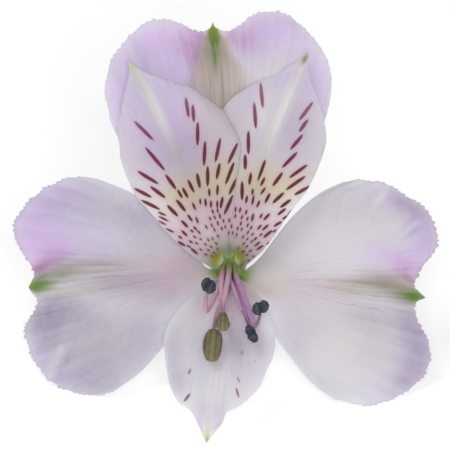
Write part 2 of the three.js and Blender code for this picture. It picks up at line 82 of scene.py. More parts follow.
print("the tepals join the ovary at", [round(1000 * x, 2) for x in ORIGIN], "mm")

# %% Small helpers for objects and meshes
def linked(name, data):
    """A new object, put into the scene."""
    thing = bpy.data.objects.new(name, data)
    bpy.context.scene.collection.objects.link(thing)
    return thing


def store(mesh, name, values):
    """Give each point of a mesh a number under a name, for materials and rules to read."""
    values = np.asarray(values, np.float32)
    mesh.attributes.new(name, "FLOAT", "POINT").data.foreach_set("value", values)


def grid_faces(rows, width):
    """The faces between the neighbouring rows and columns of a grid of points."""
    a = (np.arange(rows - 1)[:, None] * width + np.arange(width - 1)[None]).reshape(-1)
    return np.stack([a, a + 1, a + 1 + width, a + width], -1)

# %% [markdown]
# ## Curves that bound a tepal
#
# A tepal's outline is drawn as a few points, joined by a smooth curve. Sampling the curve
# finely and spacing the samples by length gives even columns and rows later on.

# %% A smooth curve through points
CURVE_STEPS = 60  # samples between two neighbouring points


def smooth_curve(points):
    """A function from a share of the curve's length to a point on it."""
    p = np.array(points, float)
    last = len(p) - 1
    t = np.linspace(0, last, CURVE_STEPS * last + 1)
    i = np.minimum(t.astype(int), last - 1)
    w = (t - i)[:, None]
    start, end = p[i], p[i + 1]
    leave = (end - p[np.maximum(i - 1, 0)]) / 2
    arrive = (p[np.minimum(i + 2, last)] - start) / 2
    cubic = (2 * start - 2 * end + leave + arrive) * w**3
    cubic += (3 * end - 3 * start - 2 * leave - arrive) * w**2 + leave * w + start
    length = np.concatenate([[0], np.cumsum(np.linalg.norm(np.diff(cubic, axis=0), axis=1))])
    share = length / length[-1]

    def at(where):
        return np.stack([np.interp(where, share, cubic[:, k]) for k in range(p.shape[1])], -1)

    return at


def smoothstep(low, high, x):
    """From 0 at low to 1 at high, level at both ends. low may be the larger one."""
    x = np.clip((np.asarray(x, float) - low) / (high - low), 0, 1)
    return x * x * (3 - 2 * x)

# %% [markdown]
# ## The six tepals' outlines
#
# Each tepal has a midrib and two halves, left and right as seen from its claw looking to its
# tip. A half is bounded by its side, from the claw up to the shoulder, and by its rim, from
# the tip down to the same shoulder. `bowl` says how the tepal opens: how deep the funnel is
# (cup), how soon it flares, how far it goes on rising (lean), how far its rim has bent back
# (recurve), and how far one half stands before the other (tilt).

# %% The outer tepals: broad, notched lobes either side of a green point
OUTER_TOP = dict(
    angle=90, tip=(-2.6, 39.0),
    midrib=[(-0.1, 5), (-0.3, 11), (-0.8, 19), (-1.5, 29), (-2.3, 36.5)],
    left_side=[(-0.95, 2.4), (-1.0, 3.8), (-1.5, 5.6), (-4.2, 8.8), (-8.9, 12), (-13.9, 15.2),
               (-17.4, 18.8)],
    left_rim=[(-3.2, 37.9), (-5.2, 37.6), (-7.6, 38.8), (-9.6, 39.4), (-12.6, 39.3), (-14.8, 37.9),
              (-16.9, 35.6), (-18.9, 33), (-19.5, 30.4), (-19.9, 28), (-19.4, 25.4), (-18.6, 22.4),
              (-17.8, 20.4)],
    right_side=[(0.95, 2.4), (1.0, 3.8), (1.5, 5.6), (4.4, 9), (9.9, 13.7), (13.7, 18.6),
                (15.4, 23.7)],
    right_rim=[(-2.1, 38.1), (-0.2, 37.7), (1.8, 38.7), (3.7, 40.1), (5.6, 40.8), (9, 40.4),
               (10.9, 39.1), (12.3, 37.8), (14.2, 35.7), (15.6, 33.3), (16.3, 30.5), (16.3, 27.8)],
    cup=17.5, flare=7, lean=0.12, recurve=1, tilt=0, dome=1.3, furrow=0.15, ripple=0.35,
    folds=[(-10, 27, -14, 36, 0.15, 0.8), (8, 29, 10, 37, 0.15, 0.8)],
)
OUTER_LEFT = dict(
    angle=210, tip=(-32.1, -3.4),
    midrib=[(-4.6, -1.2), (-10, -1.3), (-17, -1.8), (-24, -2.6), (-29.5, -3.2)],
    left_side=[(-2.2, -3), (-3.4, -5), (-5.4, -7.4), (-7.9, -9.9), (-10.6, -13.1), (-14.4, -17.2),
               (-18.6, -20.2)],
    left_rim=[(-31.5, -4.4), (-30.8, -5.8), (-31.4, -7.5), (-32.6, -9.2), (-32.8, -11),
              (-32.2, -13.3), (-31.2, -15.6), (-29, -18), (-26.7, -19.7), (-23.8, -20.6),
              (-21, -20.8)],
    right_side=[(-2.2, -0.95), (-3.1, -0.55), (-4.1, 0.2), (-6.2, 3), (-9.4, 6.5), (-12.6, 9.3),
                (-15.8, 11.8), (-21.1, 13.9)],
    right_rim=[(-31.6, -2.4), (-31.4, -1), (-32.3, 0.8), (-33.6, 2.7), (-34.5, 4.6), (-34.6, 6.6),
               (-33.7, 8.4), (-32.1, 10.4), (-30.2, 12.1), (-28.3, 13.1), (-26.2, 14),
               (-23.8, 14.3)],
    cup=17, flare=6, lean=0.12, recurve=5.8, tilt=2, dome=1.2, furrow=0.05, ripple=0.3,
    folds=[(-25.6, -10.5, -28.8, -18.2, 0.5, 0.9), (-25, 6, -31, 9, 0.15, 0.8)],
)
OUTER_RIGHT = dict(
    angle=324, tip=(31.5, -5.1),
    midrib=[(4.6, -2), (9.6, -2.6), (16, -3.3), (23, -4.2), (28.8, -4.9)],
    left_side=[(2.4, -0.85), (3.15, -0.3), (4.25, 0.6), (5.7, 2.2), (7.6, 4.75), (9.85, 7.6),
               (12.6, 10.2), (15.3, 12.1), (18.2, 13.4)],
    left_rim=[(30.5, -4.2), (30, -3.6), (29.9, -2.7), (30.6, -1), (31.9, 0.9), (33.1, 2.6),
              (33.6, 4.2), (33.2, 6.2), (32.2, 8.4), (30.9, 9.9), (28.4, 11.3), (25.6, 13),
              (23.2, 13.6), (20.6, 13.8)],
    right_side=[(2.2, -2.9), (3.4, -4.9), (5.3, -8.1), (7.4, -11.4), (9.8, -14.6), (13.2, -18.6),
                (17.1, -21.4)],
    right_rim=[(30.7, -5.4), (30.1, -5.8), (29.9, -7), (30.6, -9.3), (31.7, -11.2), (32.3, -13.3),
               (32.2, -15.6), (31.2, -17.7), (29.4, -19.5), (26.8, -21.1), (23.8, -22.2),
               (21.2, -22.3)],
    cup=17, flare=6, lean=0.12, recurve=4.8, tilt=0, dome=1.2, furrow=0.05, ripple=0.3,
    folds=[(17, 3, 18.8, 11.6, 0.3, 0.8), (21, 5, 24.6, 12.6, 0.3, 0.8), (24, 3, 29, 9, 0.15, 0.8)],
)

# %% The inner tepals: two narrow streaked ones above, a plain one below
INNER_LEFT = dict(
    angle=150, tip=(-16.2, 33),
    midrib=[(-3.2, 4.6), (-5, 10.6), (-7.4, 17), (-9.9, 22.1), (-12.6, 27.4), (-14.6, 30.7)],
    left_side=[(-2.0, -0.85), (-3.5, 0.05), (-6.2, 1.9), (-9.8, 5.3), (-12.6, 8.6), (-15, 11.4),
               (-16.6, 15), (-17.3, 17.4)],
    left_rim=[(-15.9, 31.4), (-16.2, 29.4), (-16.8, 26.9), (-17.3, 24.2), (-17.6, 21.8),
              (-17.5, 19.7)],
    right_side=[(-0.9, 1.5), (-0.7, 2.2), (-0.12, 3.2), (0.2, 6.2), (0.6, 9), (1, 13), (1.6, 17),
                (1.6, 20), (-1, 24.9)],
    right_rim=[(-15.2, 32), (-13.4, 30.9), (-10.2, 29.8), (-8.2, 29), (-6.2, 28.6), (-4.6, 27.5),
               (-2.4, 25.9)],
    cup=20, flare=4.2, lean=0.12, recurve=0.6, tilt=0.3, dome=0.9, furrow=-0.12, ripple=0.15,
)
INNER_RIGHT = dict(
    angle=30, tip=(12.8, 34.7),
    midrib=[(2.9, 5), (4.3, 12.2), (5.9, 18.6), (8.2, 24.2), (9.6, 27.4), (11.2, 31.2)],
    left_side=[(0.9, 1.5), (0.7, 2.2), (0.2, 3.2), (-0.1, 6.2), (-0.5, 9), (-1.1, 13), (-1.4, 17.8),
               (-1.4, 21.8), (-1, 25)],
    left_rim=[(11.5, 33), (9.9, 32.2), (8.4, 31.1), (6.9, 30.2), (5.3, 29.8), (3, 28.5), (0.7, 27)],
    right_side=[(2.1, -0.75), (2.95, 0.2), (4.25, 1.35), (5.6, 2.65), (7.85, 5.65), (9.9, 8.8),
                (12.2, 11.7), (13.8, 14.7), (14.9, 17.8)],
    right_rim=[(12.6, 32.6), (12.8, 30.7), (13.3, 28.8), (14.1, 26.6), (15, 24), (15.5, 20.6)],
    cup=20, flare=4.2, lean=0.12, recurve=0.6, tilt=0.5, dome=0.9, furrow=-0.12, ripple=0.15,
)
INNER_LOWER = dict(
    angle=270, tip=(-3.6, -28.2),
    midrib=[(-0.5, -5.4), (-1.3, -10.2), (-2.1, -16.6), (-2.9, -22.2)],
    left_side=[(1.2, -2.0), (2.6, -2.7), (4.3, -4.0), (5.9, -6.6), (6.7, -8.6), (7.3, -10.7),
               (7.4, -12.8)],
    left_rim=[(-2.6, -26.9), (-1.1, -25.1), (-0.3, -23.3), (1.6, -22.4), (3.7, -20.6), (5.1, -19),
              (5.9, -16.9), (6.9, -14.9)],
    right_side=[(-1.2, -2.0), (-2.7, -2.6), (-4.6, -3.8), (-6.4, -5.3), (-8, -6.8), (-9.4, -8.8),
                (-10.2, -11), (-10.3, -13.4)],
    right_rim=[(-4.3, -26.7), (-5.1, -24.8), (-6.2, -23), (-8, -21.8), (-9.3, -19.5),
               (-9.9, -16.8)],
    cup=19.5, flare=4.2, lean=0.21, recurve=0, tilt=0, dome=0.5, furrow=-0.1, ripple=0.25,
)

# %% [markdown]
# ## A tepal as a sheet of rows and columns
#
# Each half is filled in from its four bounding curves (a Coons patch), so that every column
# runs from the claw to the rim, as the veins do. Then each point is lifted to its depth in the
# funnel. Two numbers go with each point: `across`, from -1 at the left side to 1 at the right
# one, and `along`, from 0 at the claw to 1 at the rim. Veins and colours follow them.

# %% Fill a half from its bounding curves
RING_RADIUS = 2.2  # mm, where the face starts to rise
CLAW_RING = 1.2  # mm, where the claws' tongues start, on the ovary's disc
CLAW_HALF_WIDTH = 0.5
JOIN_GAP = 0.3  # mm, by which tepals, filaments and style start above the ovary


def half_plan(tepal, side_name, direction, q, t):
    """The face's outline filled in: q from the midrib to the side, t from the claw to the rim."""
    angle = math.radians(tepal["angle"])
    axis = np.array([math.cos(angle), math.sin(angle)])
    claw = axis * CLAW_RING
    corner = claw + np.array([axis[1], -axis[0]]) * direction * CLAW_HALF_WIDTH
    side_points = [tuple(corner), *tepal[side_name + "_side"]]
    shoulder, tip = np.array(side_points[-1]), np.array(tepal["tip"])
    side = smooth_curve(side_points)
    rim = smooth_curve([tepal["tip"], *tepal[side_name + "_rim"], side_points[-1]])
    midrib = smooth_curve([tuple(claw), *tepal["midrib"], tepal["tip"]])
    Q, T = np.meshgrid(q, t)
    Q, T = Q[..., None], T[..., None]
    plan = (1 - T) * (claw + (corner - claw) * Q) + T * rim(q)[None]
    plan = plan + (1 - Q) * midrib(t)[:, None] + Q * side(t)[:, None]
    return plan - (1 - T) * ((1 - Q) * claw + Q * corner) - T * ((1 - Q) * tip + Q * shoulder)

# %% How far the face stands out at each point
RECURVE_REACH = 30
FURROW_WIDTH = 0.1
MIDRIB_DIP = 0.12  # how gently the two halves meet
CLAW_BEND = 0.4  # mm, how softly a claw turns up from the disc
CLAW_SHARE = 0.08  # of the length, over which the claw's straight start turns into the funnel
OPENING = (0.1, 0.6)  # of the length, between which dome, furrow and tilt set in
RIPPLES, RIPPLE_SHIFT = 9, 0.7


def depth_of(tepal, plan, s, t):
    """The depth in the funnel, in mm, of points of a plan: s across it and t along it."""
    angle = math.radians(tepal["angle"])
    along_axis = plan @ np.array([math.cos(angle), math.sin(angle)])
    blend = smoothstep(0, CLAW_SHARE, t)
    reach = along_axis * (1 - blend) + np.linalg.norm(plan, axis=-1) * blend
    beyond = reach - RING_RADIUS
    out = (beyond + np.hypot(beyond, CLAW_BEND)) / 2
    opened = smoothstep(*OPENING, t)
    q = np.abs(s)
    depth = tepal["cup"] * (1 - np.exp(-out / tepal["flare"])) + tepal["lean"] * out
    depth -= tepal["recurve"] * (reach / RECURVE_REACH) ** 4
    dome = np.sin(math.pi * q) * q / np.hypot(q, MIDRIB_DIP)
    depth += tepal["tilt"] * s * opened + tepal["dome"] * dome * opened
    depth -= tepal["furrow"] * np.exp(-((q / FURROW_WIDTH) ** 2)) * opened
    waves = np.sin(RIPPLES * s + RIPPLE_SHIFT * tepal["angle"])
    depth += tepal["ripple"] * waves * q**2 * t**3
    return depth + JOIN_GAP

# %% [markdown]
# ## Small relief
#
# Under the main bowl a tepal has relief of its own: shallow grooves over the veins, pleats
# that fan out to the rim, a slight pucker of the whole sheet and a few folds. All of them are
# fractions of a millimetre high, so they come after the bowl and move each point along the
# sheet's own normal. Small uneven teeth move the rim in and out. Seeded waves keep all of it
# the same in every run.

# %% Waves, teeth and normals
WAVE_LENGTHS = (0.7, 1.6)  # of the scale asked for
TOOTH_HEIGHTS = (0.25, 1)  # of the tallest tooth
TOOTH_STEPS = (0.6, 1.4)  # of the spacing asked for
TOOTH_COUNT = 400  # more than the longest rim needs


def soft_waves(x, y, scale, seed, count=7):
    """Smooth uneven relief between about -1 and 1, over lengths of about scale."""
    random = np.random.default_rng(seed)
    total = np.zeros(np.broadcast(x, y).shape)
    for _ in range(count):
        turn = random.uniform(0, 2 * math.pi)
        pace = 2 * math.pi / (scale * random.uniform(*WAVE_LENGTHS))
        shift = random.uniform(0, 2 * math.pi)
        total += np.sin(pace * (x * math.cos(turn) + y * math.sin(turn)) + shift)
    return total / math.sqrt(count)


def teeth(length, spacing, seed):
    """Uneven teeth at these lengths along a rim, from 0 to 1."""
    random = np.random.default_rng(seed)
    heights = random.uniform(*TOOTH_HEIGHTS, TOOTH_COUNT)
    places = np.cumsum(random.uniform(*TOOTH_STEPS, TOOTH_COUNT)) * spacing
    k = np.searchsorted(places, length)
    before = np.concatenate([[0], places])[k]
    share = (length - before) / (places[k] - before)
    return heights[k] * (1 - np.abs(2 * share - 1))


def sheet_normals(points):
    down = np.gradient(points, axis=0)
    over = np.gradient(points, axis=1)
    normal = np.cross(over, down)
    return normal / np.maximum(np.linalg.norm(normal, axis=-1, keepdims=True), 1e-9)

# %% The plan of a whole tepal, with its teeth
ROWS = 121
COLUMN_CROWDING = 1.12  # above 1, columns stand closer at the midrib
ROW_CROWDING = 1.15  # above 1, rows stand closer at the claw
TIP_TOOTHLESS = (0.03, 0.08)  # across, between which the teeth set in beside the tip
SHOULDER_TOOTHLESS = (1, 0.96)  # and between which they set in from the shoulder
TOOTH_REACH = 0.012  # of the length, how far in from the rim a tooth is felt


def whole_plan(tepal, columns):
    """The plan of both halves, with the place across and along of each of its points."""
    x = np.linspace(-1, 1, 2 * columns + 1)
    s_line = np.sign(x) * np.abs(x) ** COLUMN_CROWDING
    t_line = np.linspace(0, 1, ROWS) ** ROW_CROWDING
    left, right = s_line < 0, s_line >= 0
    plan = np.zeros((ROWS, len(x), 2))
    plan[:, left] = half_plan(tepal, "left", -1, -s_line[left], t_line)
    plan[:, right] = half_plan(tepal, "right", 1, s_line[right], t_line)
    return plan, *np.meshgrid(s_line, t_line)


def toothed(plan, s, t, height, spacing, seed):
    """The plan with teeth along its rim, but none at the tip and the shoulders."""
    steps = np.diff(plan[-1], axis=0, prepend=plan[-1:, 0])
    rim_length = np.cumsum(np.linalg.norm(steps, axis=1))
    bite = height * (0.5 - teeth(rim_length, spacing, seed))
    q = np.abs(s[0])
    bite *= smoothstep(*TIP_TOOTHLESS, q) * smoothstep(*SHOULDER_TOOTHLESS, q)
    outward = plan[-1] - plan[-4]
    outward /= np.linalg.norm(outward, axis=-1, keepdims=True)
    return plan - outward[None] * (bite * np.exp(-((1 - t) / TOOTH_REACH)))[..., None]

# %% A tepal's sheet, with its relief
VEIN_SPACING = 0.05  # of the half's width
VEIN_WANDER = 0.02
GROOVED_WIDTH = 9  # mm, the half width from which the grooves have their full depth
PLEATS_ACROSS = 18
PUCKER_LENGTH = 6  # mm


def relief_of(tepal, plan, s, t, groove, pleat, pucker, seed):
    """How far the small relief moves each point along the sheet's normal, in mm."""
    q = np.abs(s)
    lane = s + VEIN_WANDER * soft_waves(s * 2, t * 1.4, 1.2, seed + 1)
    relief = -groove * (0.5 + 0.5 * np.cos(2 * math.pi * lane / VEIN_SPACING)) ** 3
    relief = relief * smoothstep(0.05, 0.25, t) * (1 - 0.7 * smoothstep(0.8, 1, t))
    midrib = plan.shape[1] // 2
    widths = np.linalg.norm(plan[:, [0, -1]] - plan[:, [midrib]], axis=-1) / GROOVED_WIDTH
    relief = relief * np.clip(np.where(s < 0, widths[:, :1], widths[:, 1:]), 0, 1)
    pleats = soft_waves(s * PLEATS_ACROSS, t * 1.5, 1.6, seed + 3)
    relief = relief + pleat * pleats * smoothstep(0.62, 1, t) * smoothstep(0.05, 0.3, q)
    puckers = soft_waves(plan[..., 0], plan[..., 1], PUCKER_LENGTH, seed + 2)
    relief = relief + pucker * puckers * smoothstep(0.3, 0.8, t) * q
    for ax, ay, bx, by, height, width in tepal.get("folds", []):
        a, way = np.array([ax, ay]), np.array([bx - ax, by - ay])
        share = np.clip((plan - a) @ way / (way @ way), 0, 1)
        far = np.linalg.norm(plan - a - share[..., None] * way, axis=-1)
        relief = relief + height * np.exp(-((far / width) ** 2)) * smoothstep(0, 0.4, share)
    return relief


def tepal_sheet(tepal, columns, tooth_height, tooth_spacing, pleat, pucker, groove, seed):
    plan, s, t = whole_plan(tepal, columns)
    plan = toothed(plan, s, t, tooth_height, tooth_spacing, seed)
    points = np.concatenate([plan, depth_of(tepal, plan, s, t)[..., None]], axis=-1)
    normal = sheet_normals(points)
    relief = relief_of(tepal, plan, s, t, groove, pleat, pucker, seed)
    points = points + normal * relief[..., None]
    return dict(points=points, normal=normal, plan=plan, across=s, along=t)

# %% One sheet laid down on another
LAP_GAP = 0.42  # mm, between the middles of two blades that lie on each other
HIGH_ABOVE = 60  # mm, from where the sheet below is looked for
LAST_FREE_ROW = 4  # up to which the drop isn't measured
SMOOTHED_ROWS = 11  # over which the drop is evened out
SETTLING_ROWS = (2, 16)  # between which the drop sets in, from the claw out
SETTLING_ACROSS = (0.3, 1)  # and from the midrib to the right side


def settle_on(upper, lower):
    """Lay the right side of one sheet down on the sheet below it."""
    points, below = upper["points"], lower["points"]
    faces = grid_faces(*below.shape[:2])
    tree = BVHTree.FromPolygons(below.reshape(-1, 3).tolist(), faces.tolist())
    drops = []
    for row, (x, y, z) in enumerate(points[:, -1]):
        hit = tree.ray_cast(Vector((x, y, HIGH_ABOVE)), Vector((0, 0, -1)))[0]
        if hit and row > LAST_FREE_ROW:
            drops.append((row, hit.z + LAP_GAP - z))
    found_rows, found = np.array(drops).T
    drop = np.interp(np.arange(len(points)), found_rows, found)
    even = np.ones(SMOOTHED_ROWS) / SMOOTHED_ROWS
    drop = np.convolve(np.pad(drop, SMOOTHED_ROWS // 2, "edge"), even, "valid")
    drop = drop * smoothstep(*SETTLING_ROWS, np.arange(len(points)))
    points[..., 2] += drop[:, None] * smoothstep(*SETTLING_ACROSS, upper["across"])
    print("laid down by %.2f to %.2f mm" % (found.min(), found.max()))

# %% [markdown]
# ## From a sheet to a closed blade
#
# A real tepal is about a third of a millimetre thick and thins towards its edges. The sheet
# gets a front and a back face at half its thickness to either side, and a strip of faces
# closes the edge all round. What a point knows about itself (its place across and along, and
# its share of each colour) goes with it as named attributes, for the materials to read.

# %% Close the sheet into a blade
BLADE_THICKNESS, EDGE_THICKNESS = 0.34, 0.1
KEEL = 0.1  # mm, how far the midrib stands out at the back
KEEL_WIDTH = 0.06  # of the half's width


def blade_object(name, sheet, attributes):
    points, normal = sheet["points"], sheet["normal"]
    rows, width = points.shape[:2]
    q, t = np.abs(sheet["across"]), sheet["along"]
    edge = np.maximum(q**8, t**10)
    half = (BLADE_THICKNESS * (1 - edge) + EDGE_THICKNESS * edge)[..., None] / 2
    keel = KEEL * np.exp(-((q / KEEL_WIDTH) ** 2)) * smoothstep(0, 0.1, t)
    keel = keel * (1 - smoothstep(0.6, 1, t))
    front = points + normal * half
    back = points - normal * (half + keel[..., None])
    vertices = placed(np.concatenate([front.reshape(-1, 3), back.reshape(-1, 3)]))
    count = rows * width
    faces = grid_faces(rows, width)
    loop = np.concatenate([
        np.arange(width - 1), np.arange(rows - 1) * width + width - 1,
        (rows - 1) * width + np.arange(width - 1, 0, -1), np.arange(rows - 1, 0, -1) * width,
    ])
    after = np.roll(loop, -1)
    rim = np.stack([loop + count, after + count, after, loop], -1)
    faces = np.concatenate([faces, faces[:, ::-1] + count, rim])
    mesh = bpy.data.meshes.new(name)
    mesh.from_pydata(vertices, [], faces)
    mesh.shade_smooth()
    mesh.set_sharp_from_angle(angle=math.radians(60))
    piece = linked(name, mesh)
    attributes = dict(attributes, across=sheet["across"], along=sheet["along"])
    for key, value in attributes.items():
        store(mesh, key, np.tile(np.broadcast_to(value, t.shape).reshape(-1), 2))
    store(mesh, "front", np.repeat([1, 0], count))
    print(name, "has", len(mesh.polygons), "faces")
    return piece

# %% [markdown]
# ## Washes of colour
#
# A tepal isn't one colour: lilac deepens at the lobes, a green point runs back along the
# midrib, and the streaked tepals are cream yellow in the middle and pink below. Each of these
# is a soft wash, like a stroke of watercolour. Two tints are partly painted light: the grey one
# paints shade on turned-back lobes, along rims and below the stamens, along with a grey tone,
# and the pale one paints light into the shaded throat and onto a fold's crest, along with pale
# bands. The washes of one tint add up to one share at each point of the tepal, kept under the
# tint's name for the material to read.

# %% The tints
# The grey tint is painted shade as well as a grey tone of the tepals.
PETAL_TINTS = {
    "lilac": "d9c1f4", "magenta": "c99fce", "plum": "9a6490", "blush": "e6cdd8", "rose": "d8a2ba",
    # The pale tint is painted light as well as the tepals' own pale bands.
    "cream": "d6ce9a", "fawn": "d4cac4", "olive": "b0a696", "grey_and_painted_shade": "9d97ad", "pale_and_painted_light": "f8f5f2",
    "lime": "ccd3a0",
}
# The claws' light green and the nectar yellow-green are lighter than their own colours, as painted
# light in the shaded throat.
THROAT_TINTS = {"green": "56800a", "claw_green_and_painted_light": "a8d062", "nectar_and_painted_light": "d0d84e", "spot": "7a5140"}
print("tints:", len(PETAL_TINTS) + len(THROAT_TINTS))
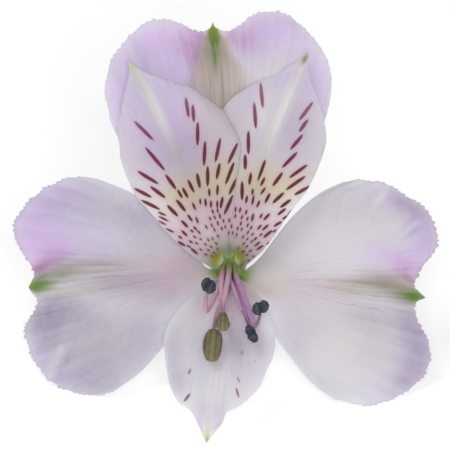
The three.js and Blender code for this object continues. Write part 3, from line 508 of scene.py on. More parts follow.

# %% The washes on each tepal
# Of each: x and y of its middle, its reach along and across in mm, its strength, and its turn in
# degrees if it has one.
# The grey washes paint shade on turned-back lobes, in hollows, along rims and on the lower tepal
# below the stamens, along with a grey tone.
WASHES = {
    # The pale washes paint light into the shaded throat, beside the claws, in shaded corners and on
    # a fold's crest, along with pale bands.
    "outer_tepal_top": {
        "green": [
            (-2.3, 33.4, 2.4, 0.45, 0.6, 92), (-2.5, 34.6, 1.6, 2.2, 0.4),
            (0, 1.5, 1.0, 0.45, 0.95, 90),
        ],
        "pale_and_painted_light": [(-0.2, 6, 3, 3, 0.5), (7, 29, 4.5, 4, 0.6)],
        "magenta": [
            (-6.0, 35.6, 3.0, 2.2, 0.8, -12), (1.9, 35.9, 2.8, 2.0, 0.7, 14),
            (-5.2, 37.6, 2.4, 0.5, 0.9, -8), (0.6, 37.6, 1.8, 0.5, 0.6, 20),
            (-5.6, 29.5, 1.0, 3.6, 0.5, -8), (-4.6, 34.4, 2.2, 2.4, 0.7),
        ],
        "lilac": [
            (-12.6, 35.8, 5.5, 3.4, 0.85), (-17.2, 29.8, 3.5, 5, 0.6), (-8.6, 30.6, 4, 5, 0.6),
            (7, 37.5, 6, 3.4, 0.75), (13, 31.6, 3.6, 5, 0.7), (5.5, 31.5, 3.5, 4.5, 0.25),
            (-8, 39, 6, 2.5, 0.4), (6, 39, 5, 2.5, 0.7), (-14.5, 29, 3, 5, 0.35),
            (-18.2, 24.5, 2, 4, 0.5), (15, 26, 2, 4, 0.4),
        ],
        "grey_and_painted_shade": [
            (4, 34.5, 3, 3, 0.2), (-4.8, 34.6, 2.4, 2.2, 0.3), (5, 39.5, 4, 2, 0.25),
            (10.5, 38.5, 3.5, 1.2, 0.35, -35), (-14.4, 30, 2.8, 6, 0.35), (0, 33, 18, 8, 0.1),
            (1.5, 37, 4, 2.4, 0.15), (-18.6, 32, 3, 1.2, 0.2, 60),
        ],
        "plum": [
            (-4.4, 36.7, 1.8, 0.8, 0.5, -20), (-5, 33.4, 1.0, 2.6, 0.4, -10),
            (0.5, 36.8, 1.4, 0.7, 0.35, 20),
        ],
        "fawn": [(2, 31, 18, 8, 0.15)],
    },
    "outer_tepal_left": {
        "green": [
            (-1.9, -1.2, 1.2, 0.4, 0.8, -60), (-22.5, -0.9, 6, 0.3, 0.35, 4),
            (-27, -1.6, 2.4, 0.6, 0.35, 10), (-30.2, -1.9, 1.6, 0.5, 0.75, 20),
        ],
        "olive": [
            (-26.4, -0.7, 4, 1.0, 0.85, 14), (-21, 0.4, 6, 0.9, 0.6, 3), (-20, -2.6, 6, 1.2, 0.3),
        ],
        "cream": [(-26.6, -3.8, 4.4, 0.9, 0.35)],
        "magenta": [(-30.4, -0.5, 2.6, 1.3, 1.0, 30), (-28, 1.8, 3, 1.6, 0.5, 20)],
        "plum": [(-30.8, -0.7, 2.2, 0.9, 0.8, 28), (-27.6, 0.7, 2.6, 0.7, 0.35, 22)],
        "grey_and_painted_shade": [
            (-28.6, -0.9, 2.6, 0.5, 0.6, 18), (-27, -6.4, 4, 2, 0.5), (-23, -8.8, 5, 3, 0.4),
            (-14, 7.4, 4.5, 3.5, 0.35, -40), (-21, 1.8, 9, 2.4, 0.3, 5), (-27, 10, 5, 3, 0.2, 20),
            (-16, 8.6, 5, 3.5, 0.2), (-22, 9, 9, 5, 0.36), (-29.8, -8.2, 4.2, 3.4, 0.9),
            (-29, -12, 3.2, 3.8, 0.5), (-17, -2.6, 8, 3, 0.45), (-20, -14, 10, 6.5, 0.5),
            (-23, -18, 7, 4, 0.55), (-13, -14.4, 3, 2.4, 0.25, 45), (-20, -19.6, 6, 1.8, 0.25, 10),
            (-13, -10.5, 3.5, 3.5, 0.35), (-26.3, -15.8, 3.6, 0.6, 0.45, 64),
            (-9.4, -4.6, 3.4, 2.2, 0.25, 20),
        ],
        "lilac": [
            (-32.4, 4.8, 3.4, 4.5, 1.1), (-28.4, 3.6, 4, 3.8, 0.85),
            (-30, 10.4, 4.4, 3.6, 0.75, 20), (-25.5, 11.2, 5, 3, 0.4), (-22, 4, 5, 3, 0.3),
            (-31, -15, 3, 4, 0.45, 10), (-28.4, -18, 3.4, 2.6, 0.5, -35),
        ],
        "blush": [(-7.8, -0.6, 6, 3.2, 0.6), (-15, -2.2, 7, 2.6, 0.4)],
        "fawn": [(-20, -13, 6, 4, 0.3)],
        "pale_and_painted_light": [(-27.9, -15.2, 3.6, 0.8, 0.25, 64), (-4, -1.8, 3.5, 2.5, 0.6)],
    },
    "outer_tepal_right": {
        "olive": [
            (25.4, -2.8, 4.2, 1.7, 0.95, -10), (19.5, -3.2, 5, 1.8, 0.45),
            (28.4, -3.4, 2.6, 1.0, 0.6, -24), (4.4, -3.1, 2.8, 1.2, 0.75, -28),
        ],
        "green": [(21.5, -2.6, 4, 0.3, 0.3, -6), (2.1, -2.1, 1.0, 0.5, 0.8, -20)],
        "grey_and_painted_shade": [
            (25.6, -2.4, 4, 1.6, 0.35, -8), (29.4, 9.6, 5, 1.4, 0.5, -42),
            (27.6, 10, 2.6, 1.6, 0.4, -40), (29.6, 5.6, 2.0, 0.4, 0.4, 35),
            (29, 7.2, 1.8, 0.35, 0.35, 40), (30.6, -13, 3.2, 6.5, 0.75), (24, -13, 4, 6, 0.15),
            (24, -8, 7, 2.6, 0.25), (10, -10.5, 3.5, 4.5, 0.2, -45), (9.8, -14, 2.4, 3.6, 0.3, 40),
            (32, 5, 2, 5, 0.25), (28.4, -18.5, 3.4, 2.4, 0.55, 40), (29.5, -8.6, 2.8, 2.4, 0.6),
            (20, 10, 9, 3.5, 0.2), (14.5, -19, 5, 1.8, 0.3, -35),
        ],
        "magenta": [(28.4, -0.4, 3, 1.4, 0.6, -34)],
        "plum": [(29, -2.4, 2.0, 0.7, 0.8, -36), (30.6, -0.9, 1.4, 0.6, 0.4, 60)],
        "lilac": [
            (31.6, 4.6, 3, 4.4, 0.8), (30.4, 0.4, 3.4, 2.2, 0.95), (25, 1.6, 5, 2.6, 0.5, -10),
            (27.6, 9.8, 6, 2.0, 0.5, -35), (31.6, -10.5, 2.2, 4.6, 0.7),
            (30, -17.4, 2.6, 4.2, 0.6, 40), (25, -20.4, 4, 1.8, 0.35, -18),
        ],
        "pale_and_painted_light": [
            (24.4, 11.2, 1.8, 0.5, 0.5, 55), (8.4, 1.2, 4, 2, 0.4, 25), (4.5, -1.8, 3.5, 2.5, 0.6),
        ],
        "fawn": [(18, -12, 8, 6, 0.3), (20, 6, 8, 5, 0.25)],
        "blush": [(9, -4.4, 7, 3, 0.2), (16.2, -3.6, 6, 2.4, 0.2)],
        "cream": [(6, -2.6, 4, 2.2, 0.3)],
    },
    "inner_tepal_upper_left": {
        "lime": [
            (-15.8, 32.3, 1.8, 0.6, 1.1, 118), (-13.9, 29.2, 3, 0.6, 0.35, 117),
            (-8.4, 18.4, 4, 0.6, 0.1, 113),
        ],
        "pale_and_painted_light": [(-11.6, 25, 5, 0.9, 0.4, 116), (-3, 2.5, 4, 4, 0.9), (-12, 9, 3.4, 2.2, 0.4, -40)],
        "grey_and_painted_shade": [
            (-8.6, 20, 4, 0.8, 0.4, 116), (-5, 18.4, 4.5, 4.5, 0.35), (-9, 18, 6, 5, 0.32),
            (-4, 11, 4, 4, 0.25),
        ],
        "blush": [
            (-5, 19, 6, 6, 0.4), (-4, 25, 3, 2.5, 0.5), (-4, 12, 6, 4.5, 0.45, 20),
            (-3.6, 7.2, 3.4, 3.0, 0.45), (-8, 5.4, 3.4, 1.8, 0.5, -40),
        ],
        "lilac": [
            (-9.4, 28.2, 4.6, 1.8, 0.6, -20), (-7, 24.5, 2.6, 4, 0.55, 20),
            (-15.6, 26, 1.7, 4.6, 0.55), (-7.8, 21, 1.4, 5.6, 0.75, 25),
            (-11.8, 19.5, 2.4, 4.5, 0.4, 20), (-10.5, 22, 6, 6, 0.35),
        ],
        "cream": [
            (-5.6, 12.4, 5.4, 2.8, 0.85, 20), (-1.0, 13.6, 3, 3.6, 0.75),
            (-1.8, 3.0, 2.2, 1.8, 0.55),
        ],
        "rose": [(-0.8, 7.6, 2.4, 3.6, 0.36)],
        "nectar_and_painted_light": [(-2.3, 1.3, 1.0, 0.85, 1.4, 80)],
        "claw_green_and_painted_light": [(-1.9, 1.7, 1.3, 0.8, 0.5, 50), (-2.2, -0.1, 1.2, 0.45, 0.7, -40)],
    },
    "inner_tepal_upper_right": {
        "lime": [
            (12.4, 33.9, 1.6, 0.6, 1.1, 68), (10.8, 30.4, 3, 0.4, 0.25, 66),
            (6.2, 20, 4, 0.6, 0.15, 70),
        ],
        "spot": [(12.1, 33.0, 0.8, 0.4, 0.9, 62)],
        "pale_and_painted_light": [
            (8.4, 25, 6, 1.0, 0.6, 68), (5.4, 25, 2, 3.6, 0.5, -20), (3, 2.5, 4, 4, 0.9),
            (10.4, 9.6, 3.4, 2.2, 0.45, 40),
        ],
        "blush": [
            (0.5, 21, 3, 4, 0.3), (3.5, 12, 5, 4, 0.35), (2.2, 7, 3.0, 3.2, 0.45),
            (6.4, 5.6, 3, 1.9, 0.45, 35),
        ],
        "grey_and_painted_shade": [
            (0.5, 21, 3, 4, 0.15), (11, 21, 3, 5, 0.25, -20), (6, 18, 8, 8, 0.08),
            (2.4, 11, 3.4, 3.4, 0.2),
        ],
        "lilac": [
            (8.3, 29.8, 3.8, 1.8, 0.6, 30), (12.8, 29, 1.3, 3.6, 0.8), (4, 26.6, 3, 2.4, 0.5, 30),
            (8, 24, 5, 5, 0.25),
        ],
        "cream": [
            (4.5, 13.4, 4.4, 3.2, 0.75), (9.6, 12.6, 4, 2.4, 0.5, 25), (1.6, 3.2, 2.2, 1.8, 0.55),
        ],
        "rose": [(0.9, 7.8, 2.4, 3.6, 0.36)],
        "nectar_and_painted_light": [(1.85, 1.7, 0.95, 0.8, 1.4, 90)],
        "claw_green_and_painted_light": [(1.8, 2.0, 1.1, 1.0, 0.5)],
        "green": [(2.0, 0, 1.2, 0.5, 0.8, 55)],
    },
    "inner_tepal_lower": {
        "lime": [(-3.5, -27.3, 1.2, 0.55, 1.0, 82), (-3.3, -25, 2.2, 0.3, 0.25, 82)],
        "green": [(-3.5, -27.8, 0.6, 0.35, 0.7, 90)],
        "lilac": [
            (-8.2, -17.5, 1.7, 5, 0.08, 10), (5, -17.5, 1.5, 4, 0.25, -20),
            (-3.2, -24, 3, 2.6, 0.25),
        ],
        "grey_and_painted_shade": [
            (1.8, -13, 2.4, 4.5, 0.4), (-4.4, -13.5, 2.2, 4, 0.2), (-9.2, -13, 1.8, 4, 0.36),
            (-8.6, -18.6, 2, 2.6, 0.38), (4.6, -5.4, 2.4, 1.6, 0.35, -50), (-2, -23.5, 4, 2, 0.2),
            (-1, -15, 7, 8, 0.1), (-4.8, -25.3, 1.8, 0.4, 0.5, 118),
            (-1.75, -25.35, 1.9, 0.4, 0.5, 50),
        ],
        "blush": [(-0.6, -6, 4.4, 3.2, 0.3)],
        "spot": [(2.1, -13.85, 0.26, 0.15, 0.7, 60), (4.1, -15.2, 0.2, 0.12, 0.6)],
        "pale_and_painted_light": [(0, -4.5, 4, 3, 0.5)],
        "olive": [(3.6, -4.3, 2.6, 1.0, 0.55, -40)],
    },
}
print("washes:", {node: sum(map(len, tints.values())) for node, tints in WASHES.items()})

# %% The share of each tint at each point
def washes_on(name, plan):
    shares = {}
    for tint in (*PETAL_TINTS, *THROAT_TINTS):
        clear = np.ones(plan.shape[:2])
        for x, y, length, width, strength, *turn in WASHES[name].get(tint, []):
            angle = math.radians(turn[0] if turn else 0)
            c, s = math.cos(angle), math.sin(angle)
            dx, dy = plan[..., 0] - x, plan[..., 1] - y
            far = ((dx * c + dy * s) / length) ** 2 + ((dy * c - dx * s) / width) ** 2
            clear *= 1 - np.clip(strength * np.exp(-far), 0, 1)
        shares[tint] = 1 - clear
    return shares

# %% [markdown]
# ## Streaks
#
# The two upper inner tepals guide insects with dark streaks that point into the throat: long
# ones far out, shorter ones in the cream band and small dots near the base. The long ones are
# listed by their two ends. The dots come by rule, in staggered arcs round the throat. Each
# streak is lens-shaped. A point of the tepal keeps its distance to the nearest streak's edge,
# so that the material can draw a crisp edge between two rows of the mesh.

# %% The long streaks, by their outer and inner ends, and some by a half width (mm)
STREAKS_LEFT = [
    (-15.2, 23.2, -12, 20), (-13.4, 19, -10.2, 15.2), (-10.2, 14.7, -8.5, 12.3),
    (-8.3, 12.3, -7.5, 10.9), (-14.6, 15.2, -11.2, 13.1), (-15.2, 12.5, -12.3, 11),
    (-12.6, 12.8, -10.1, 10.9), (-14.1, 10.6, -11, 9.1), (-11.4, 8.7, -10, 8.1, 0.17),
    (-11.3, 8, -9.6, 7.2, 0.17), (-11.4, 7.3, -10, 6.6, 0.16), (-10.2, 6.1, -8.8, 5.4, 0.17),
    (-9.9, 9.8, -8.2, 8), (-8.5, 10.7, -7, 8.8), (-7.5, 12.6, -6.6, 10.9),
    (-6.6, 13.8, -5.6, 11.8), (-5.1, 14.9, -4.6, 12.5), (-6.9, 26.9, -6.4, 23.7),
    (-5.8, 25.8, -5.6, 23), (-5, 23, -5, 19.2), (-3.8, 20, -4, 16), (-3.4, 16, -3.4, 12.8),
    (-3.2, 12.5, -3.1, 11.2), (-1.4, 20.5, -2.2, 16.6), (-1.5, 16.5, -2, 13.9),
    (-1.8, 13.1, -1.9, 11.4), (1.4, 19.7, -0.2, 16.3), (0.8, 16.6, -0.6, 13.1),
    (1.3, 14.2, 0, 11.5), (0.6, 11.4, -0.8, 8.3), (-1, 11.2, -1.4, 9.3), (-1.9, 10.6, -1.9, 9.4),
    (-2.9, 10.6, -2.9, 9.4), (-3.8, 10.9, -3.7, 9.6), (-4.6, 10.9, -4.6, 9.9),
    (-5.9, 10.2, -5.4, 9), (-6.7, 8.3, -5.9, 7.2), (-5.4, 8, -5, 6.9), (-7.7, 7.4, -6.6, 6.2),
    (-7.7, 5.8, -6.7, 4.8), (-8.2, 4.9, -7.5, 4.4), (-8.3, 4, -7, 3.2), (-6.2, 2.9, -5.1, 1.9),
]
STREAKS_RIGHT = [
    (5, 29.4, 5.4, 25.1), (4, 26.2, 4.3, 21.9), (3.1, 21.6, 3.1, 17.8), (2.6, 17.9, 2.6, 15.4),
    (13.4, 26.2, 11.2, 23.2), (12.6, 23.4, 11.2, 21.4), (11.8, 21, 9.8, 18.6),
    (10.9, 18.2, 8.5, 15.7), (12.5, 16.2, 9.6, 14.1), (12.2, 14.4, 9.1, 12.2),
    (13, 12.8, 10.4, 11.4), (8.6, 15, 7, 12.8), (5.9, 17, 4.6, 13.6), (5.8, 14.2, 5.1, 12.8),
    (5.9, 12.6, 5.1, 11.5), (3.5, 15, 3.2, 13), (2.1, 13.6, 2.1, 10.6), (3.8, 12.5, 3.7, 11.4),
    (2.9, 11.4, 2.7, 10.1), (4, 11.4, 3.7, 9.8), (5, 10.6, 4.5, 9.4), (6.6, 11.7, 5.8, 10.1),
    (8.8, 11.8, 7, 10.1), (9.9, 10.7, 8.2, 9.4), (9.1, 9.3, 7.8, 8.2), (10.4, 9.1, 9.4, 8.3),
    (9.6, 8.2, 8.5, 7.5), (6.6, 8.5, 5.6, 7.4), (5.4, 8.5, 5, 7.7), (4, 8.5, 3.7, 7.2),
    (8.5, 7.2, 7.2, 6.4), (6.4, 6.7, 5.4, 5.8), (5.3, 6.7, 4.6, 5.9), (7, 5.8, 5.6, 4.6),
    (5.1, 4, 4.2, 3.2), (5.6, 3.4, 4.5, 2.6),
]
STREAKS_BELOW = [
    (-6.1, -16.3, -6.5, -17.3, 0.14), (-6.2, -20.3, -7.2, -21.6), (1.3, -17.6, 1.7, -18.6, 0.12),
    (1.1, -19.3, 1.6, -21, 0.17),
]

# %% The dots round the throat
DOT_GAP = 0.85  # mm, between a dot and the listed streaks
DOT_ROWS = np.arange(3.4, 9.5, 0.98)  # mm from the middle
DOT_SPACING = 0.92  # mm along a row
DOT_CHANCE = 0.9
DOT_SHIFT = 0.2  # of the spacing
DOT_WOBBLE = 0.13  # mm, in and out of the row
DOT_LENGTHS = (0.11, 0.21)  # mm, half of a dot, and more further out
BARE_ANGLE, BARE_REACH = 0.42, 5.2  # radians from straight up, and mm, kept free of dots


def throat_dots(listed, first_angle, last_angle, seed):
    """Dots in staggered arcs round the throat, clear of the listed streaks."""
    random = np.random.default_rng(seed)
    middles = np.array([((a + c) / 2, (b + d) / 2) for a, b, c, d, *_ in listed])
    found = []
    for row, radius in enumerate(DOT_ROWS):
        step = DOT_SPACING / radius
        for angle in np.arange(first_angle + (row % 2) * step / 2, last_angle, step):
            angle += random.uniform(-DOT_SHIFT, DOT_SHIFT) * step
            r = radius + random.uniform(-DOT_WOBBLE, DOT_WOBBLE)
            length = 0.03 * r + random.uniform(*DOT_LENGTHS)
            here = np.array([math.cos(angle), math.sin(angle)])
            middle = here * r
            clear = np.abs(middles - middle).max(axis=1).min() > DOT_GAP
            above = abs(math.atan2(middle[0], middle[1])) < BARE_ANGLE and r < BARE_REACH
            if clear and random.uniform() < DOT_CHANCE and not above:
                found.append((*(middle + here * length), *(middle - here * length)))
    return found

# %% The distance to the nearest streak
WIDEST_STREAK = 0.29  # mm, half the width of the longest streaks
SHORTEST_WIDTH, WIDTH_PER_LENGTH = 0.1, 0.078
NO_STREAK = 2.0  # mm, beyond which a point needs no distance


def streak_distance(plan, streaks):
    nearest = np.full(plan.shape[:2], NO_STREAK)
    for ax, ay, bx, by, *own in streaks:
        a, b = np.array([ax, ay]), np.array([bx, by])
        length = np.linalg.norm(b - a)
        way = (b - a) / length
        share = (plan - a) @ way / length
        off = np.abs((plan - a) @ np.array([-way[1], way[0]]))
        past = np.maximum(np.maximum(-share, share - 1), 0) * length
        lens = np.sqrt(np.clip(1 - (2 * np.clip(share, 0, 1) - 1) ** 2, 0, 1))
        width = own[0] if own else min(WIDEST_STREAK, SHORTEST_WIDTH + WIDTH_PER_LENGTH * length)
        nearest = np.minimum(nearest, np.hypot(off, past) - width * lens)
    return nearest

# %% [markdown]
# ## A petal's finish
#
# A tepal is a satin sheet of living cells: it glows a little where light gets into it, its
# veins show as fine darker lines, and it is faintly mottled. One material covers all of that,
# with the colours as its inputs. Each wash is mixed over the one before, the veins and streaks
# come last, and a fine bump gives the surface its grain.

# %% Helpers for node trees
def colour(code):
    """A colour from its sRGB code, as the linear values that a socket takes."""
    parts = [int(code[i : i + 2], 16) / 255 for i in (0, 2, 4)]
    linear = [c / 12.92 if c <= 0.04045 else ((c + 0.055) / 1.055) ** 2.4 for c in parts]
    return (*linear, 1.0)


def add(tree, kind, inputs=None, **settings):
    """A new node, with values or links for its inputs."""
    node = tree.nodes.new(kind)
    for key, value in settings.items():
        setattr(node, key, value)
    for key, value in (inputs or {}).items():
        if isinstance(value, bpy.types.NodeSocket):
            tree.links.new(value, node.inputs[key])
        else:
            node.inputs[key].default_value = value
    return node


def maths(tree, operation, a, b=0.5):
    return add(tree, "ShaderNodeMath", {0: a, 1: b}, operation=operation).outputs[0]


def times(tree, a, b):
    return maths(tree, "MULTIPLY", a, b)


def plus(tree, a, b):
    return maths(tree, "ADD", a, b)


def reading(tree, name):
    return add(tree, "ShaderNodeAttribute", attribute_name=name).outputs["Fac"]


def mixed(tree, share, a, b):
    node = add(tree, "ShaderNodeMix", {0: share, 6: a, 7: b}, data_type="RGBA")
    return node.outputs[2]


def ramp(tree, value, low, high, start=0.0, end=1.0):
    keys = {"Value": value, "From Min": low, "From Max": high, "To Min": start, "To Max": end}
    return add(tree, "ShaderNodeMapRange", keys, interpolation_type="SMOOTHSTEP").outputs[0]


def noise(tree, scale, detail=3.0, where=None):
    where = where or add(tree, "ShaderNodeTexCoord").outputs["Object"]
    keys = {"Vector": where, "Scale": scale, "Detail": detail}
    return add(tree, "ShaderNodeTexNoise", keys).outputs[0]


def new_material(name):
    material = bpy.data.materials.new(name)
    material.use_nodes = True
    material.node_tree.nodes.clear()
    return material, material.node_tree


def finish_with(tree, settings, height, bump_mm):
    """The shader and its output, with a bump of this height."""
    keys = {"Height": height, "Distance": bump_mm * MM, "Strength": 1.0}
    bump = add(tree, "ShaderNodeBump", keys)
    shader = add(tree, "ShaderNodeBsdfPrincipled", {**settings, "Normal": bump.outputs[0]})
    output = add(tree, "ShaderNodeOutputMaterial")
    tree.links.new(shader.outputs[0], output.inputs["Surface"])

# %% Veins in the petal material
MAIN_VEINS = dict(count=9.0, wobble=1.1, width=0.13)
FINE_VEINS = dict(count=24.0, wobble=2.4, width=0.3)
FINE_SHARE = 0.3
SHIVER_SHARE = 0.35
WANDER_PACE, FADING_PACE = 90.0, 260.0  # patches of noise to the metre
INNER_VEIN, OUTER_VEIN = "a0879a", "82856a"


def vein_lines(tree, across, wander, shiver, count, wobble, width):
    """1 along the lines of equal place across the tepal, made a little uneven."""
    lane = times(tree, across, count)
    lane = plus(tree, lane, times(tree, wander, wobble))
    lane = plus(tree, lane, times(tree, shiver, SHIVER_SHARE))
    off = maths(tree, "SUBTRACT", maths(tree, "FRACT", lane), 0.5)
    return ramp(tree, maths(tree, "ABSOLUTE", off), 0.5 - width, 0.5)


def all_veins(tree, across, shiver):
    wander = noise(tree, WANDER_PACE, 1.0)
    main = vein_lines(tree, across, wander, shiver, **MAIN_VEINS)
    fine = vein_lines(tree, across, wander, shiver, **FINE_VEINS)
    fading = ramp(tree, noise(tree, FADING_PACE, 2.0), 0.38, 0.6, 0.15, 1.0)
    return maths(tree, "MAXIMUM", times(tree, main, fading), times(tree, fine, FINE_SHARE))

# %% Streaks in the petal material
# Edges are distances to a streak's edge, and reaches are distances to the middle, in mm.
HALO, HALO_EDGE, HALO_REACH = "cc9cb2", (0.85, 0.05), (10, 16)
INK_EDGE, INK_REACH, FAR_INK = (0.13, -0.04), (21, 29), 0.8
EDGE_GRAIN = 0.08
FIRST_INK = "94506a"
LATER_INKS = [("7c2440", 3, 7), ("5f1d18", 7, 11), ("741d47", 14.5, 19)]
BACK_INK, FRONT_INK = 0.25, 0.97


def streaked(tree, skin, mottle, front, halo_share, ink_share):
    """The skin with dark streaks, which hardly show on its back, and a soft halo round each."""
    reach = reading(tree, "reach")
    edge = plus(tree, reading(tree, "streak"), times(tree, mottle, EDGE_GRAIN))
    halo = times(tree, ramp(tree, edge, *HALO_EDGE, 0.0, halo_share), front)
    halo = times(tree, halo, ramp(tree, reach, *HALO_REACH, 1.0, 0.5))
    skin = mixed(tree, halo, skin, colour(HALO))
    fading = ramp(tree, reach, *INK_REACH, ink_share, FAR_INK * ink_share)
    inked = times(tree, ramp(tree, edge, *INK_EDGE), fading)
    ink = colour(FIRST_INK)
    for code, start, end in LATER_INKS:
        ink = mixed(tree, ramp(tree, reach, start, end), ink, colour(code))
    faint = ramp(tree, front, 0.0, 1.0, BACK_INK, FRONT_INK)
    return mixed(tree, times(tree, inked, faint), skin, ink)

# %% The petal material
MOTTLE_PACE, CELL_PACE, SHIVER_PACE = 900.0, 7000.0, 420.0  # patches of noise to the metre
MOTTLED = ("lilac", "magenta", "grey_and_painted_shade")
SHADED_SKIN, KEEL_GREEN = "d0ccd8", "7f9a4c"
PETAL_SHEEN = {
    "Specular IOR Level": 0.25, "Subsurface Weight": 0.8, "Subsurface Radius": (1.0, 0.85, 0.9),
    "Subsurface Scale": 0.9 * MM, "Sheen Weight": 0.06, "Sheen Roughness": 0.4,
}
FINE_BUMP = 0.03  # mm


def keel_on(tree, skin, across, along, front):
    """A green midrib on the back, fading towards the tip."""
    keel = ramp(tree, maths(tree, "ABSOLUTE", across), 0.09, 0.0)
    keel = times(tree, keel, ramp(tree, along, 1.2, 0.1))
    keel = times(tree, keel, maths(tree, "SUBTRACT", 1.0, front))
    return mixed(tree, times(tree, keel, 0.8), skin, colour(KEEL_GREEN))


def petal_finish(name, white, halo_share=None, ink_share=1.0):
    material, tree = new_material(name)
    across, along, front = (reading(tree, key) for key in ("across", "along", "front"))
    mottle, cells = noise(tree, MOTTLE_PACE), noise(tree, CELL_PACE, 1.0)
    shiver = noise(tree, SHIVER_PACE, 1.0)
    vein = all_veins(tree, across, shiver)
    skin = mixed(tree, times(tree, mottle, 0.25), colour(white), colour(SHADED_SKIN))
    for tint, code in PETAL_TINTS.items():
        share = reading(tree, tint)
        if tint in MOTTLED:
            share = times(tree, share, ramp(tree, mottle, 0.2, 0.7, 0.85, 1.0))
        skin = mixed(tree, share, skin, colour(code))
    vein_tint = mixed(tree, ramp(tree, along, 0.45, 0.75), colour(INNER_VEIN), colour(OUTER_VEIN))
    skin = mixed(tree, times(tree, vein, reading(tree, "veined")), skin, vein_tint)
    for tint, code in THROAT_TINTS.items():
        share = times(tree, reading(tree, tint), ramp(tree, shiver, 0.2, 0.8, 0.9, 1.0))
        skin = mixed(tree, share, skin, colour(code))
    if halo_share:
        skin = streaked(tree, skin, mottle, front, halo_share, ink_share)
    height = plus(tree, times(tree, cells, 0.35), times(tree, mottle, 0.5))
    height = maths(tree, "SUBTRACT", height, times(tree, vein, 0.25))
    paint = keel_on(tree, skin, across, along, front)
    rough = ramp(tree, mottle, 0.2, 0.8, 0.46, 0.6)
    settings = {"Base Color": paint, "Roughness": rough, **PETAL_SHEEN}
    finish_with(tree, settings, height, FINE_BUMP)
    return material


outer_finish = petal_finish("outer_tepal_finish", "dedfe5")
streaked_finish = petal_finish("streaked_tepal_finish", "dad4dc", halo_share=0.35)
lower_finish = petal_finish("lower_tepal_finish", "e0e2e7", halo_share=0.15, ink_share=0.8)
print("petal finishes:", outer_finish.name, streaked_finish.name, lower_finish.name)

# %% [markdown]
# ## Make the six tepals
#
# The outer three have teeth along the rim, deep pleats and a band of olive veins behind their
# green point. The inner three are smoother. Every claw is green where it joins the ovary.

# %% The green of an outer tepal
# Lengths are in mm. way leads from the tip to the claw. point is half the width of the green at
# the very tip, widening is what each mm further back adds to it, and half is as wide as it gets.
# wedge is how far back the wedge runs, and full is the share of it that is solid. line is how
# far the fine line in the middle runs on, and claw how far out the claw's own green reaches.
TIP_GREEN = {
    "outer_tepal_top": dict(
        way=(0.03, -1), point=0.4, widening=0.48, half=1.7, wedge=5.2, full=0.6, line=10, claw=3.2,
    ),
    "outer_tepal_left": dict(
        way=(1, 0.2), point=0.6, widening=1.2, half=1.9, wedge=5.9, full=0.25, line=12, claw=4.4,
    ),
    "outer_tepal_right": dict(
        way=(-1, 0.12), point=0.5, widening=0.8, half=1.9, wedge=7.0, full=0.25, line=11, claw=5.0,
    ),
}
FIBRE_SEED, PANEL_EDGE_SEED = 7, 9
LINE_SHARE, LINE_WIDTH = 0.45, 0.25


def tip_green(node, tepal, plan, s):
    """Green at the point, fading out in uneven lines towards the claw."""
    tip = TIP_GREEN[node]
    way = np.array(tip["way"]) / np.linalg.norm(tip["way"])
    back = (plan - np.array(tepal["tip"])) @ way
    aside = np.abs((plan - np.array(tepal["tip"])) @ np.array([-way[1], way[0]]))
    fibres = soft_waves(s * 50, 0 * s, 1.6, FIBRE_SEED)
    half = np.clip(tip["point"] + tip["widening"] * np.clip(back, 0, None), 0, tip["half"])
    ends = tip["wedge"] * (1 + 0.12 * fibres)
    wedge = smoothstep(1.15, tip["full"], np.hypot(aside / half, np.clip(back, 0, None) / ends))
    fading = smoothstep(tip["line"], 0.2 * tip["line"], back)
    line = LINE_SHARE * np.exp(-((aside / LINE_WIDTH) ** 2)) * fading
    return np.clip(np.maximum(wedge, line), 0, 1)


def claw_green(plan, s, end):
    reach = np.linalg.norm(plan, axis=-1)
    return smoothstep(end, 0.55 * end, reach) * np.exp(-((s / 0.75) ** 2))


def bare_panel(plan, s):
    """The upper tepal's bare middle, which widens from the point down, and the way back to it."""
    back = OUTER_TOP["tip"][1] - plan[..., 1]
    xs, ys = zip(*OUTER_TOP["midrib"])
    midrib = np.interp(plan[..., 1], ys, xs)
    uneven = soft_waves(back, np.sign(s), 2.2, PANEL_EDGE_SEED)
    half = 0.5 + 0.42 * np.clip(back, 0, 9) + 0.35 * uneven
    share = smoothstep(1.4 * half, 0.6 * half, np.abs(plan[..., 0] - midrib))
    return share * smoothstep(0.5, 3, back) * smoothstep(24, 15, back), back

# %% Where each tint lies on a tepal
UNEVEN_TINTS = {"grey_and_painted_shade": 0.05, "olive": 0.15, "magenta": 0.15}
TINT_SEED, PANEL_SEED = 5, 8
# Painted shade: a soft darkening along the rim and sides, and a thin dark line on the very edge.
EDGE_FROM, SIDE_EDGE_FROM, SIDE_EDGE = 0.96, 0.95, 0.6  # the soft dusk along rim and side
LINE_FROM, SIDE_LINE = 0.985, 0.7  # the thin line on the very edge


